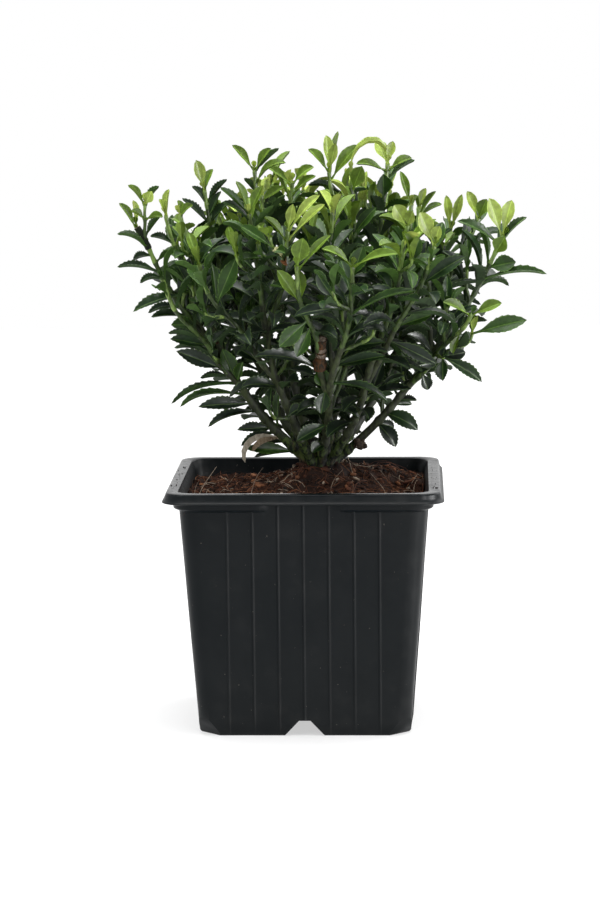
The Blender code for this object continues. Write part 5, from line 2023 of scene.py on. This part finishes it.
def make_crown(plan, sprouts):
    crown = Crown(plan, sprouts)
    set_leaves = {name: place_leaves(crown, name, rows) for name, rows in SET_LEAVES.items()}
    ribs = [leaf.row(u, (0,)) for made in set_leaves.values() for leaf, _ in made for u in SHOWN_SHARES]
    shown.add([middle for middle, in ribs])
    twig_palette = [twig_finish(name, *look) for name, look in TWIG_TINTS.items()]
    for group, names in GROUPS.items():
        leaves = Heap()
        twigs = Heap()
        for name in names:
            rng = random.Random(f"leaves of {name}")
            leader, sides = plan[name]
            for leaf, tone in set_leaves.get(name, ()):
                draw_leaf(leaves, leaf, leaf_tints(tone))
            for limb in (leader, *sides, *sprouts[name]):
                start = 0
                bare = SIDE_FOOT
                flush = rng.uniform(*FLUSH)
                if limb is leader:
                    start = BOUGH_SHARE * leader.length
                    bare = LOWEST_LEAF.get(name, LOWEST_LEAF_ELSEWHERE)
                elif limb in sprouts[name]:
                    bare = SPROUT_FOOT
                    # Painted shade: sprouts inside the crown take darker tones sooner.
                    flush *= SPROUT_FLUSH
                knots = grow_leaves(crown, name, limb, bare, flush, leaves, rng)
                if knots:
                    tints = twig_tint(limb, flush)
                    limb_tube(twigs, limb, start, limb.top, TWIG_STEP, TWIG_SIDES, tints, True, knots)
        nodes = [f"foliage_{name}" for name in names]
        for kind, heap, palette in (("leaves", leaves, leaf_palette), ("twigs", twigs, twig_palette)):
            mesh = heap.mesh(f"{kind}_{group}", palette, 60)
            add_piece(f"{kind}_{group}", mesh, "leaves", *nodes)


make_crown(plan, sprouts)
print(tally["grown"], "leaves grown of", tally["wanted"])

# %% [markdown]
# Dead leaves. A few old leaves have dried. A pale one hangs down from the foot of the left bough, before
# the pot's back rim as the camera sees it, with a smaller tan one beside it. A shrivelled pair, one pale
# yellow and one orange-brown, is caught in the left front shoots.

# %% Dead leaves
# Each: the limb that it hangs on, the distance along it, its direction, length, width, arch and tone.
DEAD_LEAVES = (
    (("left", 0, 14), (-0.95, -0.28, -0.22), 20, 2.0, 2.4, 0),
    (("left", 0, 15.5), (-0.88, -0.35, -0.20), 12, 1.8, 0.9, 1),
    (("front_left", 2, 34), (-0.35, -0.80, 0.62), 8.5, 2.4, 0.3, 2),
    (("front_left", 2, 33), (0.15, -0.90, 0.10), 6, 2.2, 1.4, 3),
)
DEAD_TONES = {
    "dead_pale": ((0.42, 0.36, 0.26), (0.66, 0.60, 0.48)),
    "dead_tan": ((0.20, 0.14, 0.08), (0.40, 0.32, 0.21)),
    "dead_yellow": ((0.46, 0.47, 0.20), (0.66, 0.64, 0.36)),
    "dead_orange": ((0.16, 0.060, 0.022), (0.34, 0.15, 0.06)),
}
DEAD_AGE = 0.6
DEAD_DROOP = 0.1
DEAD_TWIST = (0.8, 1.4)


def make_dead_leaves():
    rng = random.Random("dead leaves")
    heap = Heap()
    for (name, number, distance), direction, length, width, arch, tone in DEAD_LEAVES:
        root, _ = limb_of(name, number).at(distance * MM)
        axis = Vector(direction).normalized()
        normal = off(Vector((0, 0, 1)), axis)
        leaf = Leaf(root, axis, normal, length, width, DEAD_AGE, DEAD_DROOP, arch, rng.uniform(*DEAD_TWIST))
        draw_leaf(heap, leaf, tone)
    palette = [stub_finish(name, *look) for name, look in DEAD_TONES.items()]
    add_piece("dead_leaves", heap.mesh("dead_leaves", palette, 60), "leaves")


make_dead_leaves()
